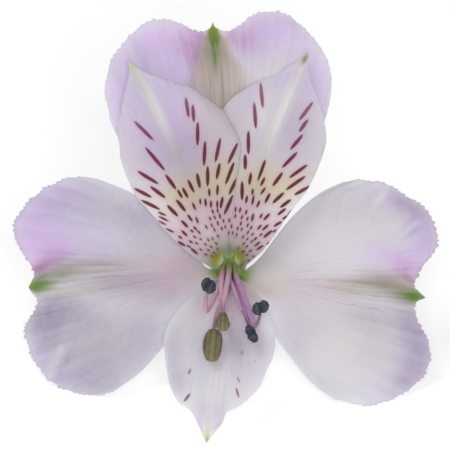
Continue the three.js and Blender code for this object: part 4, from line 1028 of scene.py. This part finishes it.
def shares_of(node, tepal, sheet, rim_painted_shade, rim_shade_line):
    s, t, plan = sheet["across"], sheet["along"], sheet["plan"]
    q = np.abs(s)
    shares = washes_on(node, plan)
    # Shade painted along the rim and sides, and as a thin line on the very edge.
    side = SIDE_EDGE * rim_painted_shade * smoothstep(SIDE_EDGE_FROM, 1, q)
    edge = np.maximum(rim_painted_shade * smoothstep(EDGE_FROM, 1, t), side)
    line = np.maximum(smoothstep(LINE_FROM, 1, t), SIDE_LINE * smoothstep(LINE_FROM, 1, q))
    shares["grey_and_painted_shade"] = np.maximum(shares["grey_and_painted_shade"], np.maximum(edge, rim_shade_line * line))
    fibres = soft_waves(s * 45, t * 2, 1.6, TINT_SEED)
    for tint, uneven in UNEVEN_TINTS.items():
        shares[tint] = np.clip(shares[tint] * (1 + uneven * fibres), 0, 1)
    if node in TIP_GREEN:
        shares["green"] = np.maximum(shares["green"], tip_green(node, tepal, plan, s))
        # The claw's green, painted lighter as light in the shaded throat.
        claw = 0.9 * claw_green(plan, s, TIP_GREEN[node]["claw"])
        shares["claw_green_and_painted_light"] = np.maximum(shares["claw_green_and_painted_light"], claw)
    else:
        # A pale band down the inner tepals' midribs, their own colour.
        line = np.exp(-((q / (0.09 + 0.12 * (1 - t))) ** 2)) * smoothstep(0.4, 0.75, t)
        shares["pale_and_painted_light"] = np.clip(shares["pale_and_painted_light"] + 0.3 * line, 0, 1)
    if node == "outer_tepal_top":
        panel, back = bare_panel(plan, s)
        lines = soft_waves(s * 70, t * 1.5, 1.6, PANEL_SEED)
        olive = 0.25 + 0.6 * smoothstep(11, 3, back) + 0.15 * lines
        shares["fawn"], shares["olive"] = 0.85 * panel, panel * np.clip(olive, 0, 1)
    return shares


def tepal_piece(node, tepal, sheet, material, rim_painted_shade, rim_shade_line, veins, streaks):
    """veins says how strong they are all over, how wide the midrib's band is, and how strong."""
    s, t, plan = sheet["across"], sheet["along"], sheet["plan"]
    base, spread, strength = veins
    veined = base + strength * np.exp(-((np.abs(s) / spread) ** 2)) * smoothstep(0.15, 0.4, t)
    veined = veined * (1 - 0.5 * smoothstep(0.9, 1, t))
    attributes = dict(
        shares_of(node, tepal, sheet, rim_painted_shade, rim_shade_line), veined=veined,
        streak=streak_distance(plan, streaks), reach=np.linalg.norm(plan, axis=-1),
    )
    piece = blade_object(node + "_petal", sheet, attributes)
    piece.data.materials.append(material)
    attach(piece, "root")
    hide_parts(node)
    return piece

# %% The outer tepals
OUTER_RELIEF = dict(columns=110, tooth_spacing=0.9, pleat=0.11, pucker=0.07, groove=0.018)
# The two numbers after the tooth height say how strongly shade is painted along the rim and on its
# very edge.
for node, tepal, tooth_height, rim_painted_shade, rim_shade_line, veins, seed in (
    ("outer_tepal_top", OUTER_TOP, 0.55, 0.15, 0.5, (0.03, 0.25, 0.25), 11),
    ("outer_tepal_left", OUTER_LEFT, 0.65, 0.4, 0.9, (0.04, 0.3, 0.36), 12),
    ("outer_tepal_right", OUTER_RIGHT, 0.65, 0.4, 0.9, (0.03, 0.28, 0.32), 13),
):
    sheet = tepal_sheet(tepal, tooth_height=tooth_height, seed=seed, **OUTER_RELIEF)
    piece = tepal_piece(node, tepal, sheet, outer_finish, rim_painted_shade, rim_shade_line, veins, [])

# %% The inner tepals
INNER_RELIEF = dict(
    columns=85, tooth_height=0.1, tooth_spacing=0.9, pleat=0.03, pucker=0.06, groove=0.012,
)
# How strongly shade is painted as a thin line on the inner tepals' edges.
INNER_RIM_SHADE_LINE = 0.1
INNER_VEINS = (0.06, 0.3, 0.15)
right_sheet = tepal_sheet(INNER_RIGHT, seed=15, **INNER_RELIEF)
left_sheet = tepal_sheet(INNER_LEFT, seed=14, **INNER_RELIEF)
lower_sheet = tepal_sheet(INNER_LOWER, seed=16, **INNER_RELIEF)
settle_on(left_sheet, right_sheet)
dots_left = throat_dots(STREAKS_LEFT, math.radians(90), math.radians(166), seed=21)
dots_right = throat_dots(STREAKS_RIGHT, math.radians(16), math.radians(88), seed=22)
print("dots round the throat:", len(dots_left), len(dots_right))
for node, tepal, sheet, material, streaks, slot in (
    ("inner_tepal_upper_left", INNER_LEFT, left_sheet, streaked_finish,
     STREAKS_LEFT + dots_left, "streaked_tepal"),
    ("inner_tepal_upper_right", INNER_RIGHT, right_sheet, streaked_finish,
     STREAKS_RIGHT + dots_right, "streaked_tepal"),
    ("inner_tepal_lower", INNER_LOWER, lower_sheet, lower_finish, STREAKS_BELOW, "lower_tepal"),
):
    piece = tepal_piece(node, tepal, sheet, material, 0, INNER_RIM_SHADE_LINE, INNER_VEINS, streaks)

# %% [markdown]
# ## Threads: filaments, style, ovary and stalk
#
# A filament is a fine fleshy thread, the style is a thinner one with three edges, and the
# stalk is a stout one. All follow a path, and the ovary is a short thick body with six ribs
# along its own path. So one rule makes them all. The path is a few points, each with the
# thickness there. The rule draws a smooth curve through them and sweeps a ribbed ring along
# it. Its inputs are how many points go along and around, and how many ribs of what height.

# %% Helpers for rules
def new_rule(name, inputs):
    """An empty rule with named inputs, and its first and last nodes."""
    tree = bpy.data.node_groups.new(name, "GeometryNodeTree")
    socket = tree.interface.new_socket
    socket(name="Geometry", in_out="INPUT", socket_type="NodeSocketGeometry")
    for label, kind in inputs.items():
        socket(name=label, in_out="INPUT", socket_type="NodeSocket" + kind)
    socket(name="Geometry", in_out="OUTPUT", socket_type="NodeSocketGeometry")
    given = tree.nodes.new("NodeGroupInput").outputs
    return tree, given, tree.nodes.new("NodeGroupOutput").inputs


def first_of(tree, kind, inputs=None, **settings):
    """The first output of a new node."""
    return add(tree, kind, inputs, **settings).outputs[0]


def stored(tree, geometry, name, value):
    keys = {"Geometry": geometry, "Name": name, "Value": value}
    kind = "GeometryNodeStoreNamedAttribute"
    return first_of(tree, kind, keys, data_type="FLOAT", domain="POINT")


def read(tree, name):
    return first_of(tree, "GeometryNodeInputNamedAttribute", {"Name": name})


def realized(tree, geometry, material):
    skin = first_of(tree, "GeometryNodeRealizeInstances", {"Geometry": geometry})
    keys = {"Geometry": skin, "Material": material}
    return first_of(tree, "GeometryNodeSetMaterial", keys)

# %% The rule for a thread
def thread_rule():
    kinds = {"Points Along": "Int", "Points Around": "Int", "Ribs": "Int", "Rib Height": "Float",
             "Finish": "Material"}
    tree, given, result = new_rule("thread_rule", kinds)
    curve = first_of(tree, "GeometryNodeMeshToCurve", {"Mesh": given["Geometry"]})
    kind = "GeometryNodeCurveSplineType"
    curve = first_of(tree, kind, {"Curve": curve}, spline_type="CATMULL_ROM")
    keys = {"Curve": curve, "Count": given["Points Along"]}
    curve = first_of(tree, "GeometryNodeResampleCurve", keys)
    curve = stored(tree, curve, "along", first_of(tree, "GeometryNodeSplineParameter"))
    keys = {"Resolution": given["Points Around"], "Radius": 1.0}
    ring = add(tree, "GeometryNodeCurvePrimitiveCircle", keys).outputs["Curve"]
    place = first_of(tree, "GeometryNodeInputPosition")
    parts = add(tree, "ShaderNodeSeparateXYZ", {0: place}).outputs
    turn = maths(tree, "ARCTAN2", parts["Y"], parts["X"])
    rib = maths(tree, "COSINE", times(tree, turn, given["Ribs"]))
    ring = stored(tree, ring, "rib", rib)
    swell = plus(tree, times(tree, rib, given["Rib Height"]), 1.0)
    keys = {"Vector": place, "Scale": swell}
    place = first_of(tree, "ShaderNodeVectorMath", keys, operation="SCALE")
    ring = first_of(tree, "GeometryNodeSetPosition", {"Geometry": ring, "Position": place})
    keys = {"Curve": curve, "Profile Curve": ring, "Scale": read(tree, "thickness"),
            "Fill Caps": True}
    skin = first_of(tree, "GeometryNodeCurveToMesh", keys)
    tree.links.new(realized(tree, skin, given["Finish"]), result["Geometry"])
    return tree


THREAD_RULE = thread_rule()
print("rule:", THREAD_RULE.name, "with", len(THREAD_RULE.nodes), "nodes")

# %% What a rule makes from a mesh
def grown(name, start, tree, values):
    """The plain mesh that a rule makes from a starting mesh."""
    helper = linked(name + "_start", start)
    modifier = helper.modifiers.new("rule", "NODES")
    modifier.node_group = tree
    for item in tree.interface.items_tree:
        if item.in_out == "INPUT" and item.name in values:
            modifier[item.identifier] = values[item.name]
    helper.update_tag()
    depsgraph = bpy.context.evaluated_depsgraph_get()
    mesh = bpy.data.meshes.new_from_object(helper.evaluated_get(depsgraph))
    bpy.data.objects.remove(helper)
    mesh.name = name
    return mesh

# %% A thread as a piece
def volume_of(mesh):
    """Six times the volume inside a mesh, negative if its faces look inwards."""
    mesh.calc_loop_triangles()
    corners = np.zeros(3 * len(mesh.loop_triangles), np.int32)
    mesh.loop_triangles.foreach_get("vertices", corners)
    places = np.zeros(3 * len(mesh.vertices))
    mesh.vertices.foreach_get("co", places)
    a, b, c = places.reshape(-1, 3)[corners.reshape(-1, 3)].transpose(1, 0, 2)
    return float(np.einsum("ij,ij->i", a - a[0], np.cross(b - a[0], c - a[0])).sum())


def piece_from(name, mesh, replaced):
    """An object from a mesh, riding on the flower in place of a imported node."""
    if volume_of(mesh) < 0:
        mesh.flip_normals()
    piece = linked(name, mesh)
    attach(piece, "root")
    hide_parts(replaced)
    print(name, "has", len(mesh.polygons), "faces")
    return piece


def thread_piece(node, places, thickness, finish, along, around, ribs=0, rib_height=0.0):
    """places are in metres on the table. thickness is the radius there, in mm."""
    count = len(places)
    start = bpy.data.meshes.new(node + "_path")
    start.from_pydata(places, [(k, k + 1) for k in range(count - 1)], [])
    store(start, "thickness", np.array(thickness, np.float32) * MM)
    values = {"Points Along": along, "Points Around": around, "Ribs": ribs,
              "Rib Height": rib_height, "Finish": finish}
    mesh = grown(node + "_thread", start, THREAD_RULE, values)
    mesh.shade_smooth()
    mesh.set_sharp_from_angle(angle=math.radians(50))
    return piece_from(node + "_thread", mesh, node)

# %% [markdown]
# ## Finishes for the green and pink threads
#
# Filaments are translucent and smooth, yellowish green at their foot, pink or mauve for most
# of their length, and darker just below the anther, where the anther's shade is painted in. The
# ovary and the stalk are a matt leaf green with fine lines along them, and the stalk's cut end
# is pale and moist.

# %% The thread finishes
def thread_finish(name, foot, middle, tip, rib_code, rib_share, grain_scale, glow):
    material, tree = new_material(name)
    along = reading(tree, "along")
    grain = noise(tree, grain_scale)
    fine = noise(tree, 5000.0, 1.0)
    skin = mixed(tree, ramp(tree, along, 0.12, 0.32), colour(foot), colour(middle))
    skin = mixed(tree, ramp(tree, along, 0.82, 1.0), skin, colour(tip))
    line = ramp(tree, reading(tree, "rib"), 0.2, 1.0)
    skin = mixed(tree, times(tree, line, rib_share), skin, colour(rib_code))
    skin = mixed(tree, ramp(tree, grain, 0.45, 0.75, 0.0, 0.12), skin, colour(foot))
    height = plus(tree, times(tree, fine, 0.5), times(tree, grain, 0.5))
    settings = {
        "Base Color": skin, "Roughness": ramp(tree, grain, 0.3, 0.7, 0.4, 0.52),
        "Specular IOR Level": 0.35, "Subsurface Weight": glow,
        "Subsurface Radius": (1.0, 0.6, 0.6), "Subsurface Scale": 0.5 * MM,
    }
    finish_with(tree, settings, height, FINE_BUMP)
    return material


FLESHY = dict(foot="a6c25a", grain_scale=1500.0, glow=0.6)
# The filaments' dark tip colours are painted shade below the anthers.
salmon = thread_finish("salmon_filament", middle="deb6cc", tip="a987a5", rib_code="e8cadb",
                       rib_share=0.4, **FLESHY)
mauve = thread_finish("mauve_filament", middle="c999c8", tip="6d5670", rib_code="dab4de",
                      rib_share=0.5, **FLESHY)
style_finish = thread_finish("style_finish", foot="c0d080", middle="d6aed2", tip="cf9fc4",
                             rib_code="e0c4dc", rib_share=0.3, grain_scale=1500.0, glow=0.6)
green_finish = thread_finish("ovary_finish", foot="86a052", middle="728f3f", tip="7d9a4a",
                             rib_code="5f7c38", rib_share=0.6, grain_scale=2200.0, glow=0.15)
stalk_finish = thread_finish("stalk_finish", foot="7d9848", middle="74903f", tip="a9b878",
                             rib_code="668040", rib_share=0.5, grain_scale=2600.0, glow=0.1)
print("thread finishes:", salmon.name, mauve.name, style_finish.name, green_finish.name,
      stalk_finish.name)

# %% [markdown]
# ## Anthers
#
# Each anther is two pollen sacs side by side. Shut, it is a smooth olive bean with ridges
# along it. Open, its sacs have burst and turned inside out, and slate-blue pollen grains cover
# them. The skin is drawn ring by ring: round the egg a cleft parts the two sacs, and one sac
# slips a little past the other. The pollen comes by rule: grains of twenty faces each stand at
# random points of the skin, sunk in to their middles.

# %% An anther's skin
def anther_skin(name, anther, rings=44, around=56):
    along = np.array(anther["along"], float)
    along /= np.linalg.norm(along)
    across = np.array(anther["across"], float)
    across -= along * (across @ along)
    across /= np.linalg.norm(across)
    through = np.cross(along, across)
    t = np.linspace(0, 1, rings + 2)[1:-1, None]
    t = t - np.sin(2 * math.pi * t) * 0.11
    turn = np.arange(around)[None] * 2 * math.pi / around
    swell = np.sin(math.pi * t ** anther["belly"]) ** anther["blunt"]
    x = np.cos(turn) * swell
    y = np.sin(turn) * swell
    z = np.broadcast_to(2 * t - 1, x.shape)
    x, y = (np.append(v.reshape(-1), (0, 0)) for v in (x, y))
    z = np.append(z.reshape(-1), (-1, 1))
    waist = np.exp(-((x / anther["waist"]) ** 2))
    uneven = 1 + 0.04 * soft_waves(x * 2 + z, y * 2 - z, 2.0, anther["seed"])
    y = y * (1 - anther["cleft"] * waist) * uneven
    y = y * (1 + anther["ridge"] * np.cos(2 * math.pi * anther["ribs"] * x / 2))
    z = z * (1 - anther["notch"] * waist) + anther["slip"] * x
    x = x * uneven * (1 + anther["taper"] * z)
    sizes = (anther["width"] / 2, anther["thickness"] / 2, anther["length"] / 2)
    points = np.array(anther["centre"], float)
    for value, size, way in zip((x, y, z), sizes, (across, through, along)):
        points = points + (value * size)[:, None] * way
    first, last = rings * around, rings * around + 1
    faces = []
    for k in range(around):
        following = (k + 1) % around
        faces.append((first, following, k))
        faces.append((last, (rings - 1) * around + k, (rings - 1) * around + following))
        for row in range(rings - 1):
            a, b = row * around, (row + 1) * around
            faces.append((a + k, a + following, b + following, b + k))
    mesh = bpy.data.meshes.new(name)
    mesh.from_pydata(placed(points), [], faces)
    mesh.shade_smooth()
    store(mesh, "groove", np.exp(-((x / 0.12) ** 2)))
    store(mesh, "flank", smoothstep(-0.55, -0.85, x))
    store(mesh, "seam", np.exp(-(((np.abs(x) - 0.55) / 0.07) ** 2)))
    store(mesh, "rib", -np.cos(2 * math.pi * anther["ribs"] * x / 2))
    return mesh

# %% The rule for pollen
BARE_SEAM = 0.9  # of the grains, missing along the seams
SMALLEST_GRAIN, LARGEST_GRAIN = 0.6, 1.25


def pollen_rule():
    kinds = {"Grains Per Area": "Float", "Grain Radius": "Float", "Seed": "Int",
             "Finish": "Material"}
    tree, given, result = new_rule("pollen_rule", kinds)
    covered = maths(tree, "SUBTRACT", 1.0, times(tree, read(tree, "seam"), BARE_SEAM))
    density = times(tree, given["Grains Per Area"], covered)
    keys = {"Mesh": given["Geometry"], "Density": density, "Seed": given["Seed"]}
    spread = add(tree, "GeometryNodeDistributePointsOnFaces", keys).outputs
    keys = {"Radius": given["Grain Radius"], "Subdivisions": 1}
    grain = first_of(tree, "GeometryNodeMeshIcoSphere", keys)
    keys = {2: SMALLEST_GRAIN, 3: LARGEST_GRAIN, 8: given["Seed"]}
    sizes = add(tree, "FunctionNodeRandomValue", keys).outputs[1]
    keys = {"Points": spread["Points"], "Instance": grain, "Scale": sizes,
            "Rotation": spread["Rotation"]}
    grains = first_of(tree, "GeometryNodeInstanceOnPoints", keys)
    grains = realized(tree, grains, given["Finish"])
    joined = add(tree, "GeometryNodeJoinGeometry")
    tree.links.new(given["Geometry"], joined.inputs[0])
    tree.links.new(grains, joined.inputs[0])
    tree.links.new(joined.outputs[0], result["Geometry"])
    return tree


POLLEN_RULE = pollen_rule()
print("rule:", POLLEN_RULE.name, "with", len(POLLEN_RULE.nodes), "nodes")

# %% The anther finishes
def anther_finish(name, main, second, line, line_share, groove, seam, bump_mm):
    """Colours are sRGB codes. line_share is how strongly the ridges' colour shows."""
    material, tree = new_material(name)
    grain = noise(tree, 3000.0)
    patches = noise(tree, 900.0, 2.0)
    skin = mixed(tree, ramp(tree, patches, 0.35, 0.65), colour(main), colour(second))
    lines = ramp(tree, reading(tree, "rib"), 0.1, 1.0)
    lines = times(tree, lines, ramp(tree, patches, 0.3, 0.6, 0.5, 1.0))
    lines = maths(tree, "MAXIMUM", lines, reading(tree, "flank"))
    skin = mixed(tree, times(tree, lines, line_share), skin, colour(line))
    skin = mixed(tree, times(tree, reading(tree, "groove"), 0.6), skin, colour(groove))
    if seam:
        skin = mixed(tree, times(tree, reading(tree, "seam"), 0.55), skin, colour(seam))
    settings = {"Base Color": skin, "Roughness": ramp(tree, grain, 0.3, 0.7, 0.6, 0.8),
                "Specular IOR Level": 0.25, "Subsurface Weight": 0.05,
                "Subsurface Scale": 0.3 * MM}
    finish_with(tree, settings, grain, bump_mm)
    return material


shut_finish = anther_finish("shut_anther_finish", main="867e63", second="7b7453", line="5d4d36",
                            line_share=0.5, groove="928b6c", seam=None, bump_mm=0.05)
open_finish = anther_finish("open_anther_finish", main="454855", second="383a45", line="383a45",
                            line_share=0.0, groove="24252e", seam="6f7686", bump_mm=0.05)
pollen_finish = anther_finish("pollen_finish", main="565a69", second="464957", line="464957",
                              line_share=0.0, groove="565a69", seam=None, bump_mm=0.01)
print("anther finishes:", shut_finish.name, open_finish.name, pollen_finish.name)

# %% [markdown]
# ## The six stamens
#
# `ring` is where a filament starts on the ovary, in degrees round it. `path` is its course out
# of the throat. Three anthers have opened, and three are still shut and hang down. Every
# filament ends just inside its anther.

# %% The stamens, in mm
FILAMENT_RING_RADIUS = 0.8
FILAMENT_RING_DROP = 0.4  # how far the ring of feet sits below the flower's middle
FILAMENT_RADIUS = 0.46
FILAMENT_TAPER = 0.15  # of the radius, lost evenly along the filament
NECK, NECK_FROM = 0.35, 0.86  # of the radius, lost on the last stretch before the anther
OPEN = dict(length=2.9, width=2.5, thickness=1.8, cleft=0.75, waist=0.3, notch=0.22, blunt=0.55,
            belly=1, ridge=0.0, ribs=3, taper=0.0)
SHUT = dict(length=5.5, width=3.1, thickness=2.1, cleft=0.06, waist=0.3, notch=0.03, blunt=0.3,
            belly=1, ridge=0.06, ribs=3.2, taper=0.08)
STAMENS = {
    "left": dict(
        ring=210, finish=salmon,
        path=[(-0.95, -1.6, 4), (-1.3, -2.8, 10), (-2.1, -4.5, 16), (-3.1, -6.5, 21),
              (-3.65, -7.1, 23.4), (-3.7, -5.75, 25.4), (-3.5, -4.2, 26.4)],
        anther=dict(OPEN, centre=(-3.25, -3.1, 27.0), along=(0.25, 0.85, 0.45),
                    across=(0.75, -0.45, 0.3), slip=-0.06, seed=31),
    ),
    "lower_left": dict(
        ring=270, finish=salmon,
        path=[(0, -2.1, 4), (-0.1, -3.5, 9.5), (-0.7, -5.4, 14.6), (-1.8, -7.5, 18.4),
              (-2.53, -10.33, 21.77)],
        anther=dict(SHUT, centre=(-2.6, -12.6, 22.9), along=(-0.1, -0.92, 0.36),
                    across=(1, -0.1, 0), slip=0.03, taper=-0.03, seed=32),
    ),
    "lower_right": dict(
        ring=330, finish=mauve,
        path=[(0.9, -1.8, 4), (1.1, -3.1, 10), (1.6, -5.2, 15.5), (2.5, -7.4, 20),
              (3.2, -9.5, 23.2)],
        anther=dict(OPEN, length=1.9, width=3.1, thickness=1.7, centre=(3.6, -10.8, 24.0),
                    along=(0.9, 0.3, 0.3), across=(0.25, -0.85, 0.45), slip=0.35, seed=33),
    ),
    "right": dict(
        ring=30, finish=mauve,
        path=[(0.9, -0.8, 4), (1.25, -2.1, 10), (2.1, -4.2, 16), (3.2, -7.1, 21),
              (4.3, -9.5, 23.8), (4.95, -7.64, 26.66)],
        anther=dict(OPEN, width=2.8, centre=(5.0, -6.6, 27.4), along=(-0.1, 0.75, 0.65),
                    across=(0.9, 0.35, -0.2), slip=0.05, seed=34),
    ),
    "middle": dict(
        ring=90, finish=salmon,
        path=[(0, -0.35, 4), (-0.1, -1.6, 10), (-0.4, -3.3, 16), (-0.75, -5.5, 20.6),
              (-1.02, -7.56, 24.05)],
        anther=dict(SHUT, length=3.5, width=2.2, thickness=1.7, blunt=0.5, belly=1.4, taper=0.1,
                    centre=(-1.0, -8.8, 24.9), along=(0, -0.85, 0.5), across=(1, 0, 0),
                    slip=0.05, seed=35),
    ),
    "behind": dict(
        ring=150, finish=salmon,
        path=[(-0.95, -0.65, 4), (-1.15, -1.85, 10), (-1.2, -3.6, 15.2), (-1.1, -5.4, 18.4),
              (-0.9, -7.1, 20.9)],
        anther=dict(SHUT, length=3.1, width=1.7, thickness=1.5, blunt=0.5, belly=1.2,
                    centre=(-0.9, -8.5, 21.6), along=(0, -0.85, 0.5), across=(1, 0, 0),
                    slip=0.05, seed=36),
    ),
}

# %% Make the stamens
GRAINS_PER_AREA = 2.6e7  # on each square metre
GRAIN_RADIUS = 0.08 * MM
for name, stamen in STAMENS.items():
    turn = math.radians(stamen["ring"])
    foot = np.array([math.cos(turn), math.sin(turn), 0]) * FILAMENT_RING_RADIUS
    foot = foot + np.array([0, -FILAMENT_RING_DROP, JOIN_GAP])
    path = placed([foot, *stamen["path"]])
    steps = np.linalg.norm(np.diff(path, axis=0), axis=1)
    share = np.concatenate([[0], np.cumsum(steps)]) / steps.sum()
    lost = FILAMENT_TAPER * share + NECK * smoothstep(NECK_FROM, 1, share)
    thread_piece("filament_" + name, path, FILAMENT_RADIUS * (1 - lost), stamen["finish"],
                 along=60, around=20, ribs=4, rib_height=0.04)
    anther = stamen["anther"]
    skin = anther_skin("anther_" + name + "_skin", anther)
    opened = anther["notch"] == OPEN["notch"]
    skin.materials.append(open_finish if opened else shut_finish)
    if opened:
        values = {"Grains Per Area": GRAINS_PER_AREA, "Grain Radius": GRAIN_RADIUS,
                  "Seed": anther["seed"], "Finish": pollen_finish}
        skin = grown("anther_" + name + "_skin", skin, POLLEN_RULE, values)
    slot = "open_anther" if opened else "closed_anther"
    piece_from("anther_" + name + "_sacs", skin, "anther_" + name)

# %% The style, which has three edges and is a little thicker at its tip
STYLE_PATH = [(0, 0, JOIN_GAP), (0.05, -1.12, 4), (0.25, -2.3, 10), (0.8, -3.7, 15.6),
              (1.35, -5.3, 18.8), (1.7, -6.3, 20.25), (1.9, -6.9, 21.0)]
STYLE_THICKNESS = [0.28, 0.27, 0.27, 0.26, 0.25, 0.25, 0.28]
thread_piece("style", placed(STYLE_PATH), STYLE_THICKNESS, style_finish,
             along=90, around=24, ribs=3, rib_height=0.1)

# %% The ovary
OVARY_LENGTH, OVARY_RADIUS = 7.0, 2.6
OVARY_OUTLINE = [(0, 0.98), (0.12, 1), (0.3, 1.02), (0.5, 1), (0.72, 0.88), (0.9, 0.64), (1, 0.42)]
ovary_path = placed([(0, 0, -below * OVARY_LENGTH) for below, _ in OVARY_OUTLINE])
ovary_thickness = [OVARY_RADIUS * share for _, share in OVARY_OUTLINE]
thread_piece("ovary", ovary_path, ovary_thickness, green_finish,
             along=70, around=120, ribs=6, rib_height=0.07)

# %% The stalk, which leaves the ovary along the flower's axis and lies down on the table
STALK_RADIUS = 1.15
STALK_RIB = 0.025  # of the radius
STALK_HEIGHT = STALK_RADIUS * (1 + STALK_RIB)
STALK_LENGTH_ON_TABLE = 36
BEND_RUN, BEND_START, BEND_END = 13, 5, 6  # its run along the table, and its two handles
STALK_DRIFT = 3  # how far the far half swings to the side
STALK_SUNK = 0.5  # into the ovary, so that no gap shows
start = placed((0, 0, -OVARY_LENGTH)) / MM - OUT * JOIN_GAP
landing = np.array([start[0], start[1] + BEND_RUN, STALK_HEIGHT])
first, second = start - OUT * BEND_START, landing - np.array([0, BEND_END, 0])
u = np.linspace(0, 1, 13)[:, None]
bend = start * (1 - u) ** 3 + 3 * first * u * (1 - u) ** 2
bend = bend + 3 * second * u**2 * (1 - u) + landing * u**3
lying = []
for share in np.linspace(0.1, 1, 10):
    drift = STALK_DRIFT * max((share - 0.5) / 0.5, 0) ** 2
    lying.append(landing + np.array([drift, share * STALK_LENGTH_ON_TABLE, 0]))
stalk_path = np.concatenate([start[None] + OUT * (JOIN_GAP + STALK_SUNK), bend, lying]) * MM
stalk_thickness = np.full(len(stalk_path), STALK_RADIUS)
thread_piece("stalk", stalk_path, stalk_thickness, stalk_finish,
             along=160, around=48, ribs=8, rib_height=STALK_RIB)

# %% [markdown]
# ## The floor, the light and the camera
#
# The flower lies on a plain pale table top under soft studio light. The camera looks straight
# into the open face from two metres away with a long lens, so that near and far tepals keep
# their true sizes.

# %% The floor
FLOOR_HALF = 4  # metres
corners = [(x * FLOOR_HALF, y * FLOOR_HALF, 0) for x, y in ((-1, -1), (1, -1), (1, 1), (-1, 1))]
floor_mesh = bpy.data.meshes.new("table_top")
floor_mesh.from_pydata(corners, [], [(0, 1, 2, 3)])
floor = linked("table_top", floor_mesh)
floor_finish, tree = new_material("pale_table_top")
grain = noise(tree, 60.0)
shade = mixed(tree, times(tree, grain, 0.2), colour("f8f8f8"), colour("f0f0f0"))
settings = {"Base Color": shade, "Roughness": 0.7, "Emission Color": colour("ffffff"),
            "Emission Strength": 0.5}
finish_with(tree, settings, grain, bump_mm=0.02)
floor_mesh.materials.append(floor_finish)
print("floor:", 2 * FLOOR_HALF, "metres wide")

# %% The camera
VIEW_MIDDLE = (-0.64, 6.64, 15.0)  # mm, what the camera looks at
DISTANCE = 2.0  # metres
FIELD = 0.072  # metres across the picture at that distance
SENSOR = 36.0  # mm
camera_data = bpy.data.cameras.new("camera")
camera_data.sensor_width = SENSOR
camera_data.lens = SENSOR * DISTANCE / FIELD
camera_data.clip_end = 50.0
camera = linked("camera", camera_data)
camera.location = Vector(placed(VIEW_MIDDLE) + OUT * DISTANCE)
camera.rotation_euler = (math.pi / 2 - FACE_TILT, 0, 0)
bpy.context.scene.camera = camera
print("camera at", [round(x, 3) for x in camera.location])

# %% The light
WORLD_TONE, WORLD_STRENGTH = (0.95, 0.965, 1.0, 1.0), 0.185
KEY = dict(way=(-0.35, 0.66, 0.66), distance=2.0, size=0.9, strength=0.245)
THROAT = dict(way=(0.06, 0.02, 1.0), distance=2.3, size=0.8, strength=0.36,
              tone=(1.0, 0.98, 0.95))


def soft_light(name, way, distance, size, strength, tone=(1, 1, 1)):
    """A square lamp, this many metres off in this direction of the flower's frame.

    A strength of 1 lights the flower as a white sky does.
    """
    way = np.array(way, float) / np.linalg.norm(way)
    data = bpy.data.lights.new(name, "AREA")
    data.shape, data.size = "SQUARE", size
    data.energy = strength * (math.pi * distance) ** 2
    data.color = tone
    lamp = linked(name, data)
    aim = Vector(ORIGIN)
    lamp.location = aim + Vector(way[0] * RIGHT + way[1] * UP + way[2] * OUT) * distance
    lamp.rotation_euler = (aim - lamp.location).to_track_quat("-Z", "Y").to_euler()
    print(name, "at", [round(x, 2) for x in lamp.location])


soft_light("key_light", **KEY)
soft_light("throat_light", **THROAT)
world = bpy.data.worlds.new("studio")
world.use_nodes = True
sky = world.node_tree.nodes["Background"].inputs
sky[0].default_value, sky[1].default_value = WORLD_TONE, WORLD_STRENGTH
bpy.context.scene.world = world
bpy.context.scene.view_settings.view_transform = "Standard"
